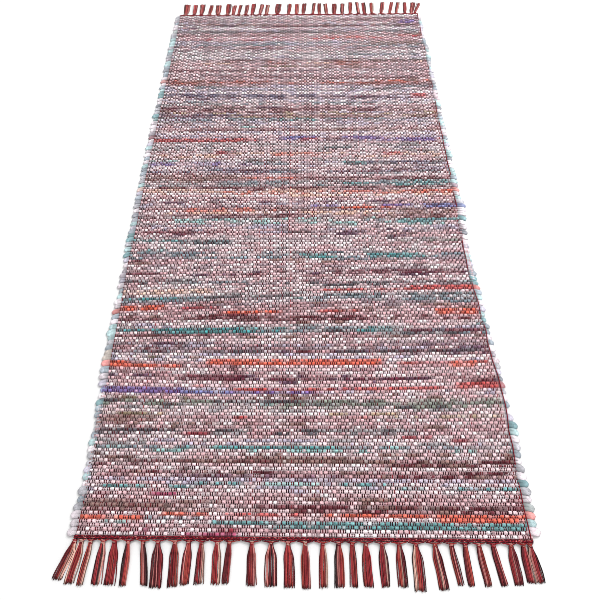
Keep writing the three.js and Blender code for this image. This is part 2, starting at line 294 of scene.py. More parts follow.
# Strips of strong colour: the y of their middle, where they start and end across the rug, how many
# picks wide they are and how fully they cover the ground. Each row lies over those before it.
STRIPE_COLUMNS = ["y", "left", "right", "picks", "strip", "cover"]
STRIPES = table(STRIPE_COLUMNS, [
    [-693, -245, -225, 1, "magenta", 0.8],
    [-693, -180, -150, 1, "magenta", 0.5],
    [-692, -150, -92, 2, "magenta", 0.85],
    [-684, -235, -222, 1, "magenta", 0.7],
    [-684, -145, -130, 1, "white", 1.0],
    [-684, -118, -100, 1, "crimson", 0.9],
    [-676, -300, -262, 1, "aqua", 0.6],
    [-676, -135, -50, 1, "teal", 0.8],
    [-677, -50, 352, 2, "teal", 0.8],
    [-670, -250, -150, 1, "slate", 0.55],
    [-671, -352, -295, 1, "orange", 0.9],
    [-667, -283, -240, 1, "orange", 0.9],
    [-663, -215, -140, 1, "orange", 0.8],
    [-665, -115, 0, 1, "red", 0.55],
    [-663, 30, 200, 1, "orange", 0.65],
    [-666, 200, 352, 2, "orange", 0.95],
    [-655, -120, 338, 1, "maroon", 0.45],
    [-646, -338, -120, 2, "brown", 0.6],
    [-650, 95, 110, 1, "umber", 0.8],
    [-652, 190, 210, 1, "umber", 0.8],
    [-650, 285, 300, 1, "umber", 0.8],
    [-636, -230, -190, 1, "magenta", 0.5],
    [-624, -312, -235, 1, "teal", 0.75],
    [-623, -203, -165, 1, "teal", 0.8],
    [-620, -165, -90, 1, "teal", 0.6],
    [-617, -60, 40, 1, "aqua", 0.6],
    [-619, 55, 150, 1, "teal", 0.55],
    [-625, 150, 185, 1, "teal", 0.7],
    [-625, 230, 352, 1, "teal", 0.75],
    [-611, -338, 338, 1, "lilac", 0.5],
    [-608, -200, 60, 1, "plum", 0.45],
    [-596, -190, -175, 1, "umber", 0.9],
    [-596, -160, -150, 1, "umber", 0.9],
    [-594, -356, -340, 2, "umber", 0.6],
    [-582, -307, -293, 1, "umber", 0.95],
    [-582, -280, -262, 1, "umber", 0.95],
    [-574, -292, -275, 1, "umber", 0.95],
    [-582, -220, 95, 1, "brown", 0.6],
    [-575, -100, 95, 1, "brown", 0.8],
    [-559, -330, -225, 1, "slate", 0.6],
    [-560, -203, -165, 1, "teal", 0.7],
    [-560, -135, -35, 1, "teal", 0.65],
    [-559, -35, 60, 1, "teal", 0.9],
    [-560, 60, 255, 1, "slate", 0.5],
    [-558, 255, 300, 1, "deep_teal", 0.7],
    [-544, -330, -120, 1, "white", 0.5],
    [-533, 110, 330, 1, "blush", 0.4],
    [-538, -185, -150, 1, "crimson", 0.7],
    [-544, 160, 215, 1, "crimson", 0.7],
    [-544, 240, 270, 1, "crimson", 0.7],
    [-529, -330, -190, 1, "charcoal", 0.55],
    [-529, 30, 120, 1, "grey", 0.7],
    [-512, -330, -240, 2, "brown", 0.6],
    [-508, -110, -90, 1, "red", 0.7],
    [-506, 90, 110, 1, "orange", 0.6],
    [-508, 230, 330, 1, "sand", 0.5],
    [-500, -315, -245, 1, "olive", 0.7],
    [-492, -100, 110, 1, "moss", 0.4],
    [-485, -65, -50, 1, "aqua", 0.9],
    [-480, 0, 340, 2, "moss", 0.5],
    [-475, -310, -275, 1, "olive", 0.7],
    [-475, -200, -190, 1, "olive", 0.7],
    [-468, 15, 30, 1, "maroon", 0.8],
    [-461, -352, -200, 2, "violet", 0.85],
    [-460, -352, -339, 1, "blue", 0.9],
    [-461, -200, -120, 1, "blue", 0.8],
    [-461, -120, 40, 1, "violet", 0.5],
    [-452, -180, -170, 1, "orange", 0.9],
    [-456, -115, 200, 1, "red", 0.75],
    [-454, 200, 270, 1, "red", 0.6],
    [-448, 270, 352, 2, "red", 0.9],
    [-449, 240, 250, 1, "white", 1.0],
    [-436, -205, -90, 2, "burgundy", 0.9],
    [-437, -60, 60, 1, "burgundy", 0.7],
    [-438, 80, 230, 1, "burgundy", 0.6],
    [-437, 280, 335, 1, "maroon", 0.7],
    [-421, -120, -108, 2, "maroon", 0.6],
    [-408, -352, -298, 2, "orange", 0.9],
    [-412, -298, -208, 1, "orange", 0.75],
    [-408, -165, -100, 2, "orange", 0.85],
    [-407, -100, 0, 2, "orange", 0.9],
    [-407, 0, 145, 2, "orange", 0.85],
    [-408, 175, 260, 1, "red", 0.7],
    [-405, 260, 312, 2, "orange", 0.85],
    [-405, 312, 334, 1, "red", 0.5],
    [-394, -272, -245, 1, "olive", 0.7],
    [-397, -195, -175, 1, "brown", 0.6],
    [-386, -338, -230, 1, "slate", 0.6],
    [-385, -170, -60, 1, "charcoal", 0.6],
    [-384, 60, 330, 1, "charcoal", 0.55],
    [-366, 133, 334, 2, "mauve", 0.6],
    [-349, -338, -90, 1, "maroon", 0.6],
    [-341, -333, -260, 1, "teal", 0.55],
    [-340, -260, -24, 2, "teal", 0.7],
    [-336, 0, 106, 1, "slate", 0.6],
    [-336, 106, 170, 2, "teal", 0.6],
    [-341, 188, 338, 1, "burgundy", 0.8],
    [-316, -330, -121, 1, "maroon", 0.5],
    [-315, -121, 120, 2, "maroon", 0.6],
    [-323, -330, -120, 1, "white", 0.5],
    [-321, 325, 352, 2, "teal", 0.7],
    [-295, -352, -246, 2, "orange", 0.75],
    [-292, -220, -150, 1, "crimson", 0.5],
    [-299, -150, -35, 1, "orange", 0.75],
    [-293, -110, 60, 1, "rose", 0.6],
    [-298, 35, 110, 1, "red", 0.55],
    [-300, 253, 334, 2, "orange", 0.6],
    [-273, -346, -176, 2, "slate", 0.6],
    [-271, -346, -230, 1, "teal", 0.5],
    [-271, -176, -110, 1, "charcoal", 0.85],
    [-268, -110, 0, 1, "charcoal", 0.7],
    [-268, -15, 36, 1, "teal", 0.6],
    [-262, 48, 260, 1, "deep_teal", 0.75],
    [-258, 260, 345, 1, "deep_teal", 0.8],
    [-268, 0, 260, 1, "slate", 0.5],
    [-256, -344, -165, 2, "peach", 0.7],
    [-249, 36, 215, 1, "red", 0.7],
    [-247, 215, 352, 2, "red", 0.85],
    [-243, 325, 352, 1, "orange", 0.9],
    [-234, -208, -100, 1, "slate", 0.6],
    [-232, -338, -208, 1, "charcoal", 0.4],
    [-234, 95, 338, 1, "charcoal", 0.45],
    [-228, 8, 24, 1, "maroon", 0.7],
    [-228, 322, 352, 1, "teal", 0.7],
    [-214, -344, -262, 1, "burgundy", 0.75],
    [-216, -127, -60, 1, "burgundy", 0.75],
    [-210, -60, -20, 1, "maroon", 0.7],
    [-209, 70, 323, 2, "burgundy", 0.75],
    [-196, 95, 200, 1, "white", 0.8],
    [-197, 250, 300, 1, "white", 0.7],
    [-183, -338, -250, 1, "maroon", 0.5],
    [-163, -300, -160, 1, "slate", 0.5],
    [-154, -310, -245, 1, "teal", 0.4],
    [-173, -60, -28, 1, "slate", 0.7],
    [-169, 3, 79, 2, "teal", 0.6],
    [-168, 140, 253, 2, "teal", 0.85],
    [-141, 110, 330, 2, "rose", 0.6],
    [-132, -352, -240, 1, "teal", 0.65],
    [-133, -240, -130, 2, "deep_teal", 0.7],
    [-129, 200, 330, 1, "moss", 0.5],
    [-109, -320, -154, 1, "burgundy", 0.85],
    [-112, -240, -222, 1, "burgundy", 0.9],
    [-108, -30, 30, 1, "umber", 0.8],
    [-106, 95, 140, 1, "plum", 0.75],
    [-123, -110, 110, 1, "mauve", 0.6],
    [-120, 178, 192, 2, "charcoal", 0.7],
    [-113, 228, 238, 1, "umber", 0.7],
    [-80, -260, -190, 1, "aqua", 0.5],
    [-77, -150, -20, 2, "aqua", 0.55],
    [-74, 0, 80, 2, "aqua", 0.55],
    [-73, 204, 300, 2, "teal", 0.7],
    [-70, 300, 352, 1, "teal", 0.6],
    [-66, -338, -260, 1, "maroon", 0.5],
    [-62, 110, 330, 2, "brown", 0.45],
    [-64, -180, 0, 1, "maroon", 0.5],
    [-47, -260, -150, 2, "coral", 0.45],
    [-43, -130, -90, 2, "coral", 0.7],
    [-47, -90, 0, 1, "brown", 0.6],
    [-52, 200, 330, 2, "brown", 0.5],
    [-35, -170, -120, 1, "plum", 0.6],
    [-35, 30, 100, 1, "violet", 0.35],
    [-36, 108, 158, 2, "orange", 0.6],
    [-31, 180, 245, 1, "violet", 0.85],
    [-31, 265, 352, 2, "blue", 0.7],
    [-30, 280, 330, 1, "navy", 0.6],
    [-22, -190, -170, 1, "umber", 0.8],
    [-21, -60, -45, 1, "charcoal", 0.8],
    [-18, -338, -320, 1, "maroon", 0.8],
    [7, -352, -325, 2, "orange", 0.6],
    [7, -325, -180, 2, "peach", 0.6],
    [5, -180, 0, 2, "coral", 0.2],
    [7, -60, 110, 2, "coral", 0.25],
    [7, 100, 280, 2, "coral", 0.45],
    [8, 250, 352, 2, "orange", 0.5],
    [19, -260, 338, 1, "maroon", 0.6],
    [21, 300, 345, 1, "maroon", 0.8],
    [31, -165, -13, 2, "slate", 0.55],
    [34, 100, 160, 1, "teal", 0.45],
    [34, 205, 334, 3, "teal", 0.55],
    [50, -121, 0, 1, "coral", 0.5],
    [48, 0, 160, 1, "maroon", 0.8],
    [54, -338, -120, 2, "brown", 0.5],
    [46, 160, 330, 1, "maroon", 0.6],
    [67, -346, -35, 2, "navy", 0.4],
    [76, 110, 330, 2, "maroon", 0.45],
    [68, -35, 30, 2, "charcoal", 0.35],
    [73, -130, -90, 1, "maroon", 0.8],
    [68, 60, 210, 1, "plum", 0.6],
    [72, 210, 323, 1, "maroon", 0.55],
    [64, 40, 62, 1, "white", 0.9],
    [102, -333, -268, 1, "aqua", 0.7],
    [95, -330, -100, 2, "violet", 0.25],
    [95, -100, -20, 2, "slate", 0.6],
    [98, 100, 155, 2, "teal", 0.6],
    [96, 110, 330, 2, "charcoal", 0.45],
    [97, 155, 290, 1, "navy", 0.55],
    [106, -115, -40, 1, "umber", 0.6],
    [106, 35, 50, 1, "maroon", 0.7],
    [131, -186, -143, 2, "crimson", 0.5],
    [127, -60, 52, 2, "coral", 0.5],
    [125, 190, 236, 2, "red", 0.45],
    [134, 285, 300, 1, "umber", 0.9],
    [139, -100, -75, 1, "umber", 0.7],
    [143, 55, 140, 1, "deep_teal", 0.75],
    [158, -312, -300, 1, "umber", 0.7],
    [174, -352, -240, 2, "red", 0.8],
    [171, -300, -94, 1, "crimson", 0.5],
    [175, -240, -94, 2, "red", 0.7],
    [181, -40, 44, 2, "violet", 0.6],
    [183, -36, 20, 1, "blue", 0.5],
    [173, 5, 60, 2, "crimson", 0.65],
    [176, 60, 105, 1, "burgundy", 0.8],
    [177, 105, 195, 2, "violet", 0.8],
    [176, 195, 320, 2, "violet", 0.6],
    [194, 80, 125, 2, "white", 0.7],
    [205, -265, 0, 1, "maroon", 0.5],
    [206, 0, 338, 1, "brown", 0.65],
    [215, -155, -100, 1, "aqua", 0.5],
    [245, -150, -60, 2, "slate", 0.6],
    [245, -60, 48, 2, "teal", 0.45],
    [258, -335, -160, 2, "plum", 0.5],
    [259, -255, -130, 1, "navy", 0.4],
    [257, -127, 50, 2, "brown", 0.4],
    [257, 50, 318, 2, "brown", 0.5],
    [257, 285, 312, 1, "umber", 0.5],
    [288, -335, -290, 2, "burgundy", 0.85],
    [284, -290, -60, 1, "umber", 0.6],
    [281, -90, 338, 1, "maroon", 0.75],
    [293, -352, -345, 1, "charcoal", 0.9],
    [307, -20, 334, 1, "slate", 0.5],
    [340, -352, -333, 2, "teal", 0.9],
    [337, -333, -100, 2, "navy", 0.6],
    [332, -100, 47, 2, "navy", 0.65],
    [330, 50, 110, 1, "plum", 0.7],
    [331, 110, 170, 2, "plum", 0.55],
    [324, 222, 238, 1, "burgundy", 0.8],
    [331, 285, 320, 3, "red", 0.65],
    [366, -260, -190, 2, "slate", 0.6],
    [364, 184, 224, 1, "charcoal", 0.7],
    [369, 224, 300, 2, "slate", 0.65],
    [375, 305, 348, 2, "charcoal", 0.7],
    [390, -338, -250, 2, "brick", 0.65],
    [387, -250, 140, 2, "brick", 0.4],
    [378, 110, 330, 2, "mauve", 0.5],
    [383, 140, 210, 2, "brick", 0.75],
    [385, 210, 320, 2, "brick", 0.5],
    [398, -338, -300, 1, "maroon", 0.8],
    [410, -200, 60, 1, "maroon", 0.6],
    [408, 60, 330, 1, "maroon", 0.8],
    [438, -338, -20, 1, "maroon", 0.6],
    [437, -60, 63, 1, "plum", 0.8],
    [438, 63, 330, 2, "mauve", 0.6],
    [446, 110, 330, 1, "rose", 0.6],
    [457, -90, -5, 1, "olive", 0.7],
    [456, 10, 60, 1, "brown", 0.7],
    [470, -80, -24, 2, "brick", 0.6],
    [468, 92, 160, 3, "brick", 0.6],
    [465, 300, 330, 1, "red", 0.4],
    [484, -250, 120, 1, "maroon", 0.7],
    [486, 125, 165, 1, "charcoal", 0.7],
    [479, 165, 320, 1, "umber", 0.75],
    [500, -195, -150, 1, "charcoal", 0.7],
    [510, -190, -140, 1, "slate", 0.6],
    [503, 128, 318, 1, "slate", 0.65],
    [531, -338, -290, 2, "burgundy", 0.35],
    [538, -140, -110, 1, "maroon", 0.8],
    [538, -75, -45, 1, "burgundy", 0.8],
    [531, 20, 50, 1, "umber", 0.8],
    [531, 150, 205, 1, "umber", 0.6],
    [552, -335, -120, 2, "slate", 0.5],
    [545, 150, 247, 2, "slate", 0.6],
    [545, 250, 322, 2, "slate", 0.5],
    [556, 110, 330, 2, "brown", 0.5],
    [567, 110, 330, 1, "rose", 0.5],
    [556, 318, 345, 2, "deep_teal", 0.7],
    [578, -290, -235, 2, "crimson", 0.4],
    [576, -145, -92, 1, "crimson", 0.85],
    [590, -70, -30, 2, "crimson", 0.4],
    [584, 40, 110, 2, "red", 0.4],
    [581, 155, 180, 2, "crimson", 0.8],
    [583, 200, 235, 2, "red", 0.35],
    [594, 270, 338, 2, "red", 0.45],
    [590, 308, 330, 1, "crimson", 0.85],
    [612, -260, 150, 1, "charcoal", 0.5],
    [614, 180, 340, 2, "slate", 0.4],
    [629, 100, 120, 1, "umber", 0.7],
    [637, -330, -120, 1, "white", 0.6],
    [641, -80, 250, 1, "maroon", 0.6],
    [641, 255, 328, 1, "umber", 0.7],
    [661, 283, 334, 3, "violet", 0.35],
    [655, -165, -125, 2, "slate", 0.5],
    [672, 140, 260, 1, "umber", 0.55],
    [677, -330, -110, 2, "mauve", 0.5],
    [677, 110, 330, 2, "rose", 0.5],
    [690, 110, 200, 1, "white", 0.8],
])

# Lighter and darker bands over the stripes, each over a part of the width
SOFT_BANDS = table(STRIPE_COLUMNS, [
    [-682, -66, 66, 1, "grey", 0.4],
    [-657, -198, -66, 2, "blush", 0.4],
    [-586, -330, -198, 2, "blush", 0.4],
    [-538, -330, -198, 2, "white", 0.4],
    [-490, -198, -66, 2, "white", 0.4],
    [-418, 198, 330, 2, "blush", 0.5],
    [-292, 66, 198, 2, "brown", 0.5],
    [-273, -66, 66, 2, "white", 0.4],
    [-268, 198, 330, 2, "slate", 0.5],
    [-178, 66, 198, 2, "rose", 0.4],
    [-142, 198, 330, 2, "white", 0.4],
    [-64, -330, -198, 2, "blush", 0.4],
    [-28, 66, 180, 2, "white", 0.4],
    [10, -66, 66, 2, "peach", 0.5],
    [14, 66, 198, 1, "blush", 0.5],
    [38, -330, -198, 2, "brown", 0.4],
    [39, 198, 330, 1, "grey", 0.4],
    [50, 198, 330, 2, "maroon", 0.3],
    [62, -198, -66, 2, "plum", 0.3],
    [62, 66, 198, 2, "white", 0.5],
    [62, 198, 330, 2, "white", 0.4],
    [76, -330, -198, 2, "white", 0.5],
    [86, 66, 198, 2, "blush", 0.4],
    [164, -66, 66, 2, "blush", 0.4],
    [284, 198, 330, 2, "blush", 0.4],
    [302, 198, 330, 2, "white", 0.5],
    [386, -66, 66, 2, "blush", 0.4],
    [398, 66, 198, 2, "white", 0.5],
    [434, 66, 198, 2, "white", 0.4],
    [452, 66, 198, 2, "brown", 0.6],
    [476, -330, -198, 2, "blush", 0.5],
    [476, -66, 66, 2, "blush", 0.4],
    [524, 198, 330, 2, "white", 0.4],
    [536, -330, -198, 2, "blush", 0.4],
    [554, 66, 198, 2, "blush", 0.4],
    [560, -330, -198, 2, "lilac", 0.5],
    [560, 198, 330, 2, "brown", 0.6],
    [590, 66, 198, 2, "coral", 0.4],
    [602, -66, 66, 2, "blush", 0.4],
    [602, 66, 198, 2, "blush", 0.5],
    [632, 198, 330, 2, "blush", 0.4],
    [692, 66, 198, 2, "white", 0.6],
    [692, 198, 330, 2, "white", 0.6],
])

# The colours of the weft where it turns at the sides, from the near end to the far end. A turn
# with none near it is pale.
TURNS_LEFT = table(["y", "strip"], [
    [-690, "white"], [-678, "white"], [-667, "white"], [-655, "grey"], [-645, "slate"],
    [-633, "grey"], [-618, "white"], [-606, "aqua"], [-580, "grey"], [-565, "white"],
    [-552, "aqua"], [-540, "slate"], [-515, "grey"], [-500, "slate"], [-486, "teal"],
    [-474, "white"], [-460, "blue"], [-450, "lilac"], [-434, "white"], [-420, "slate"],
    [-408, "orange"], [-394, "sand"], [-382, "slate"], [-370, "grey"], [-352, "aqua"],
    [-340, "aqua"], [-328, "white"], [-316, "slate"], [-296, "orange"], [-284, "white"],
    [-268, "aqua"], [-255, "slate"], [-230, "lilac"], [-212, "mauve"], [-190, "white"],
    [-160, "teal"], [-148, "aqua"], [-131, "teal"], [-118, "teal"], [-104, "slate"],
    [-82, "aqua"], [-66, "charcoal"], [-50, "white"], [-20, "charcoal"], [-8, "slate"],
    [10, "peach"], [28, "aqua"], [40, "grey"], [64, "slate"], [76, "slate"],
    [92, "aqua"], [110, "slate"], [130, "white"], [146, "aqua"], [178, "crimson"],
    [205, "white"], [222, "white"], [246, "aqua"], [262, "teal"], [280, "grey"],
    [293, "charcoal"], [308, "white"], [322, "white"], [340, "teal"], [354, "aqua"],
    [374, "slate"], [396, "coral"], [410, "white"], [424, "slate"], [438, "charcoal"],
    [450, "slate"], [470, "aqua"], [490, "mauve"], [516, "slate"], [530, "aqua"],
    [546, "grey"], [560, "aqua"], [578, "aqua"], [594, "charcoal"], [606, "grey"],
    [624, "moss"], [640, "white"], [660, "slate"], [676, "grey"],
])
TURNS_RIGHT = table(["y", "strip"], [
    [-690, "blush"], [-677, "aqua"], [-667, "orange"], [-655, "grey"], [-643, "moss"],
    [-634, "white"], [-618, "teal"], [-606, "white"], [-594, "grey"], [-582, "white"],
    [-570, "slate"], [-558, "grey"], [-546, "white"], [-534, "aqua"], [-520, "teal"],
    [-500, "white"], [-486, "slate"], [-474, "white"], [-460, "grey"], [-448, "red"],
    [-434, "charcoal"], [-413, "grey"], [-398, "blush"], [-385, "mauve"], [-372, "white"],
    [-360, "slate"], [-349, "white"], [-336, "slate"], [-321, "teal"], [-308, "aqua"],
    [-296, "lilac"], [-284, "white"], [-270, "aqua"], [-256, "slate"], [-243, "orange"],
    [-228, "teal"], [-215, "slate"], [-203, "grey"], [-190, "lilac"], [-166, "aqua"],
    [-152, "white"], [-125, "white"], [-102, "charcoal"], [-86, "white"], [-68, "teal"],
    [-50, "white"], [-29, "blue"], [-12, "aqua"], [-2, "white"], [8, "orange"],
    [22, "burgundy"], [36, "aqua"], [50, "slate"], [64, "aqua"], [78, "aqua"],
    [94, "white"], [108, "charcoal"], [120, "aqua"], [134, "aqua"], [147, "white"],
    [165, "aqua"], [182, "slate"], [200, "white"], [214, "grey"], [246, "slate"],
    [258, "grey"], [274, "white"], [286, "charcoal"], [300, "aqua"], [313, "aqua"],
    [330, "pink"], [345, "blush"], [361, "slate"], [376, "slate"], [388, "grey"],
    [402, "white"], [430, "lilac"], [460, "grey"], [488, "slate"], [505, "white"],
    [520, "aqua"], [544, "charcoal"], [558, "deep_teal"], [575, "slate"], [590, "blush"],
    [615, "white"], [645, "slate"], [676, "grey"],
])

# The colours of the other turns, in the shares in which they come
PALE_TURNS = {
    "left": "white lilac grey mauve white slate grey",
    "right": "grey lilac grey aqua lilac slate white",
}

# How much farther than usual the turned weft stands out at both sides, and how far inside the
# outermost warp's place the edge line lies there
SIDE_SHAPE = table(["y", "left_reach", "right_reach", "left_line", "right_line"], [
    [-700, 0, 0, 2, 5],
    [-665, 0, 0.8, 2.5, 4.3],
    [-655, 0, 1, 3.5, 4.1],
    [-650, -0.7, 1.7, 4, 4],
    [-640, -2, 3, 5, 3.6],
    [-625, -5, 4, 5, 3],
    [-610, -5, 4, 5, 2.4],
    [-600, -5.3, 3.1, 5, 2],
    [-575, -6, 1, 5, 0.8],
    [-560, -3.8, 3.2, 5, 0],
    [-555, -3, 4, 5, -0.1],
    [-520, -6, 5, 5, -1.1],
    [-490, -4, -2, 5, -2],
    [-460, -5, 0, 5, -1.8],
    [-450, -3, 0, 5, -1.8],
    [-440, -1, 0, 4.2, -1.8],
    [-430, 1, 0, 3.5, -1.7],
    [-410, 1, 0, 2, 0.1],
    [-400, 1, -1, 2, 1],
    [-330, 0.4, -2.1, 2, 1.5],
    [-275, 0, -3, 2, 2.2],
    [-260, -5, -2, 2, 4.5],
    [-250, -2, -2, 2, 6],
    [-240, 0, -2, 2, 6.5],
    [-200, -4, -5, 2, 8.5],
    [-150, 2, -5, 2, 8],
    [-110, 1, -2, 2, 5],
    [-80, 0, 0, 2, 2.2],
    [-50, 0, 6, 2, 2.2],
    [-30, 0, 7, 2, 2.2],
    [0, 0, 2, 2, 2.2],
    [540, 2, -2, 2, 2.2],
    [590, 4, -4, 2, 2.2],
    [620, 0, -4, 2, 2.2],
    [700, 0, -4, 2, 2.2],
])

# Each tassel's knot and the middle of its tips, across the rug from its middle line, its width over
# the tips, how far the tips lie from the woven edge, and its yarns from left to right
TASSEL_COLUMNS = ["knot", "tips", "spread", "reach", "yarns"]
NEAR_TASSELS = table(TASSEL_COLUMNS, [
    [-336, -351, 15, 56, "mcmbpec"],
    [-326, -334, 13, 61, "ecccbce"],
    [-312, -318, 10, 63, "mbepe"],
    [-294, -295, 13, 62, "mmckeep"],
    [-277, -276, 15, 62, "mccbccc"],
    [-257, -257, 10, 63, "kbcbp"],
    [-235, -226, 10, 62, "bpbmk"],
    [-213, -210, 18, 65, "mkpmpmcm"],
    [-188, -186, 14, 64, "kmcccbp"],
    [-168, -169, 13, 61, "mpkbbcm"],
    [-149, -149, 12, 60, "mmcmpe"],
    [-126, -125, 13, 60, "cbccbce"],
    [-108, -111, 10, 59, "mpmcp"],
    [-75, -74, 13, 61, "mcbmcep"],
    [-47, -46, 17, 62, "bpbmkmpm"],
    [-22, -20, 15, 63, "mcbccbm"],
    [3, 4, 13, 64, "bcccmp"],
    [29, 29, 12, 63, "cbcbme"],
    [52, 52, 14, 62, "kmpcccb"],
    [72, 73, 10, 62, "cmpbm"],
    [92, 93, 13, 61, "cbcccm"],
    [116, 117, 13, 61, "mccmek"],
    [141, 142, 13, 61, "cbmekm"],
    [165, 165, 16, 66, "kebcbcm"],
    [193, 199, 14, 64, "bcmepkm"],
    [217, 223, 9, 58, "bmpm"],
    [237, 238, 10, 59, "mmcbm"],
    [257, 262, 10, 59, "mpccb"],
    [278, 285, 10, 58, "mcmpc"],
    [304, 306, 14, 57, "mcpmkm"],
    [322, 323, 11, 54, "mccp"],
    [332, 336, 13, 54, "epmbcmk"],
])
FAR_TASSELS = table(TASSEL_COLUMNS, [
    [-322, -322, 17, 61, "mcbcmpc"],
    [-298, -299, 12, 59, "mcmbc"],
    [-278, -278, 13, 61, "cmpcm"],
    [-255, -252, 10, 57, "ccmb"],
    [-231, -232, 16, 57, "mcbmepc"],
    [-203, -202, 13, 62, "bcccm"],
    [-187, -185, 10, 56, "bcpc"],
    [-172, -168, 9, 57, "cbm"],
    [-152, -149, 11, 57, "mmcp"],
    [-133, -130, 12, 63, "cbccm"],
    [-112, -106, 11, 60, "cmpc"],
    [-93, -90, 11, 57, "cmeb"],
    [-62, -58, 16, 60, "cbcmkpc"],
    [-30, -26, 10, 62, "mccb"],
    [-7, -5, 13, 60, "bmcep"],
    [12, 17, 12, 63, "ccbmm"],
    [39, 45, 9, 64, "mpbc"],
    [58, 59, 10, 63, "ccbk"],
    [78, 77, 10, 61, "mbec"],
    [100, 102, 13, 60, "cmccb"],
    [123, 126, 11, 61, "kcpm"],
    [146, 150, 9, 68, "cbc"],
    [170, 168, 9, 68, "mcp"],
    [187, 187, 11, 65, "cbmk"],
    [208, 210, 10, 65, "ccbe"],
    [234, 243, 12, 66, "mbcmp"],
    [258, 269, 10, 66, "cmbc"],
    [277, 288, 10, 66, "kcbe"],
    [302, 307, 10, 65, "mccb"],
    [320, 331, 13, 64, "cbpmc"],
    [330, 348, 9, 60, "mcp"],
])

ENDS = {
    "near": {"side": -1, "tilt": 5 * MM, "tassels": NEAR_TASSELS, "bleaching": 0.05},
    "far": {"side": 1, "tilt": 2 * MM, "tassels": FAR_TASSELS, "bleaching": 0.12},
}
SIDES = {
    "left": {"side": -1, "first_pick": 0, "series": 1000, "turns": TURNS_LEFT,
             "behind": 1.0 * MM, "sunk": 0.4 * MM},
    "right": {"side": 1, "first_pick": 1, "series": 2000, "turns": TURNS_RIGHT,
              "behind": 1.8 * MM, "sunk": -0.6 * MM},
}
SEEDS = {name: 11 + number for number, name in enumerate((
    "picks", "ground", "stripes", "beads", "warps", "turns", "headings", "near", "far", "webs"))}


def linear(code):
    """The linear red, green and blue of an sRGB code."""
    channels = (int(code[i:i + 2], 16) / 255 for i in (0, 2, 4))
    return [c / 12.92 if c <= 0.04045 else ((c + 0.055) / 1.055) ** 2.4 for c in channels]


def length(label, description, millimetres):
    """A property that holds a length."""
    return FloatProperty(
        name=label, description=description, default=millimetres * MM, unit="LENGTH", precision=5
    )


def share(label, description, default):
    """A property that holds a share of something."""
    return FloatProperty(name=label, description=description, default=default, subtype="FACTOR")


def angle(label, description, degrees):
    """A property that holds an angle."""
    return FloatProperty(
        name=label, description=description, default=math.radians(degrees), subtype="ANGLE"
    )


def colour(name, code):
    """A property that holds the colour of one yarn or strip."""
    label = name.replace("_", " ").capitalize()
    return FloatVectorProperty(
        name=label, description=f"Colour of the {label.lower()} yarn", subtype="COLOR",
        default=linear(code), min=0.0, max=1.0,
    )


class ClothSizes(bpy.types.PropertyGroup):
    """The woven cloth as a whole, and the hidden part of it under the raised threads."""

    woven_length: length("Woven length", "From the outer edge of one heading to the other", 1400)
    edge_warp: length("Edge warp", "From the middle line to the outermost warp", 338)
    side_bow: length("Side bow", "How far the middle of the rug lies to the left", 2.5)
    heading_width: length("Heading width", "Of the tight rows at each end", 4.5)
    gap: length("Gap", "Between pieces that touch", 0.3)
    picks: IntProperty(name="Picks", description="Rows of weft", default=232)
    opening: share("Weft opening", "How much wider the picks lie at the far end", 0.04)
    unevenness: share("Unevenness", "How far a line between picks strays, in picks", 0.07)
    rib_crest: length("Rib crest", "Height of the cloth under the threads, along a pick", 5.25)
    rib_valley: length("Rib valley", "Its height between two picks", 3.9)
    under_valley: length("Under valley", "How far the underside lifts between two picks", 1.0)
    strip_station: length("Colour station", "Between two places where a strip's colour is held", 4)


class WarpSizes(bpy.types.PropertyGroup):
    """The warps: groups of two threads, single threads, and the threads' floats over the weft."""

    unit: length("Unit", "Width of a wide, a single and a wide group", 12.9)
    wide_offset: length("Wide offset", "From a unit's single thread to its wide groups", 3.6)
    units: IntProperty(name="Units", description="Units across the rug", default=52)
    thread_gap: length("Thread spacing", "Between the two threads of a wide group", 3.0)
    thread_width: length("Thread width", "Of one warp thread", 1.7)
    float_height: length("Float height", "Top of a thread where it crosses over a pick", 5.85)
    float_reach: share("Float reach", "Half the length of a float, in picks", 0.62)


class WeftSizes(bpy.types.PropertyGroup):
    """The beads that the weft makes where it crosses over the warps."""

    wide_bead: length("Wide bead", "Width of the weft over a wide group", 6.7)
    narrow_bead: length("Narrow bead", "Width of the weft over a single thread", 2.9)
    bead_reach: share("Bead reach", "Half the length of a bead, in picks", 0.495)
    bead_foot: length("Bead foot", "Height of a bead's rim, inside the cloth", 2.2)


class SideSizes(bpy.types.PropertyGroup):
    """The turned weft at both sides, and the twisted warps that bind it."""

    reach: length("Loop reach", "How far a turn stands outside the outermost warp", 11.5)
    unevenness: share("Loop unevenness", "The share by which the reach varies", 0.13)
    loop_width: length("Loop width", "Of the strip as it turns", 7.4)
    loop_slant: share("Loop slant", "How far a loop leans to the near end, in picks", 0.3)
    fading: share("Fading", "How far the turned strips' colours fade to a pale grey", 0.36)
    loop_height: length("Loop height", "Thickness of the strip as it turns", 3.7)
    strand_width: length("Edge strand width", "Of each of the two edge strands", 0.95)


class HeadingSizes(bpy.types.PropertyGroup):
    """The twined rows that lock the last pick at each end."""

    strand_width: length("Strand width", "Of one twining strand", 1.35)
    turn: length("Turn", "Length of one full turn of two strands", 8.6)


class FringeSizes(bpy.types.PropertyGroup):
    """The gathered warps, their knots and the loose threads of the tassels."""

    thread_width: length("Thread width", "Of one loose warp thread", 1.55)
    thread_pitch: length("Thread pitch", "Tassel width for each thread", 0.95)
    knot_length: length("Knot length", "From the heading to the end of the knot", 6.8)
    knot_width: length("Knot width", "Across a knot", 7.2)
    wrap_width: length("Wrap width", "Of the yarn that wraps a knot", 2.0)
    wraps: IntProperty(name="Wraps", description="Turns round each knot", default=3)
    gathered: IntProperty(name="Gathered", description="Threads on each side of a knot", default=4)
    tip_unevenness: length("Tip unevenness", "How much the threads vary in length", 2.8)


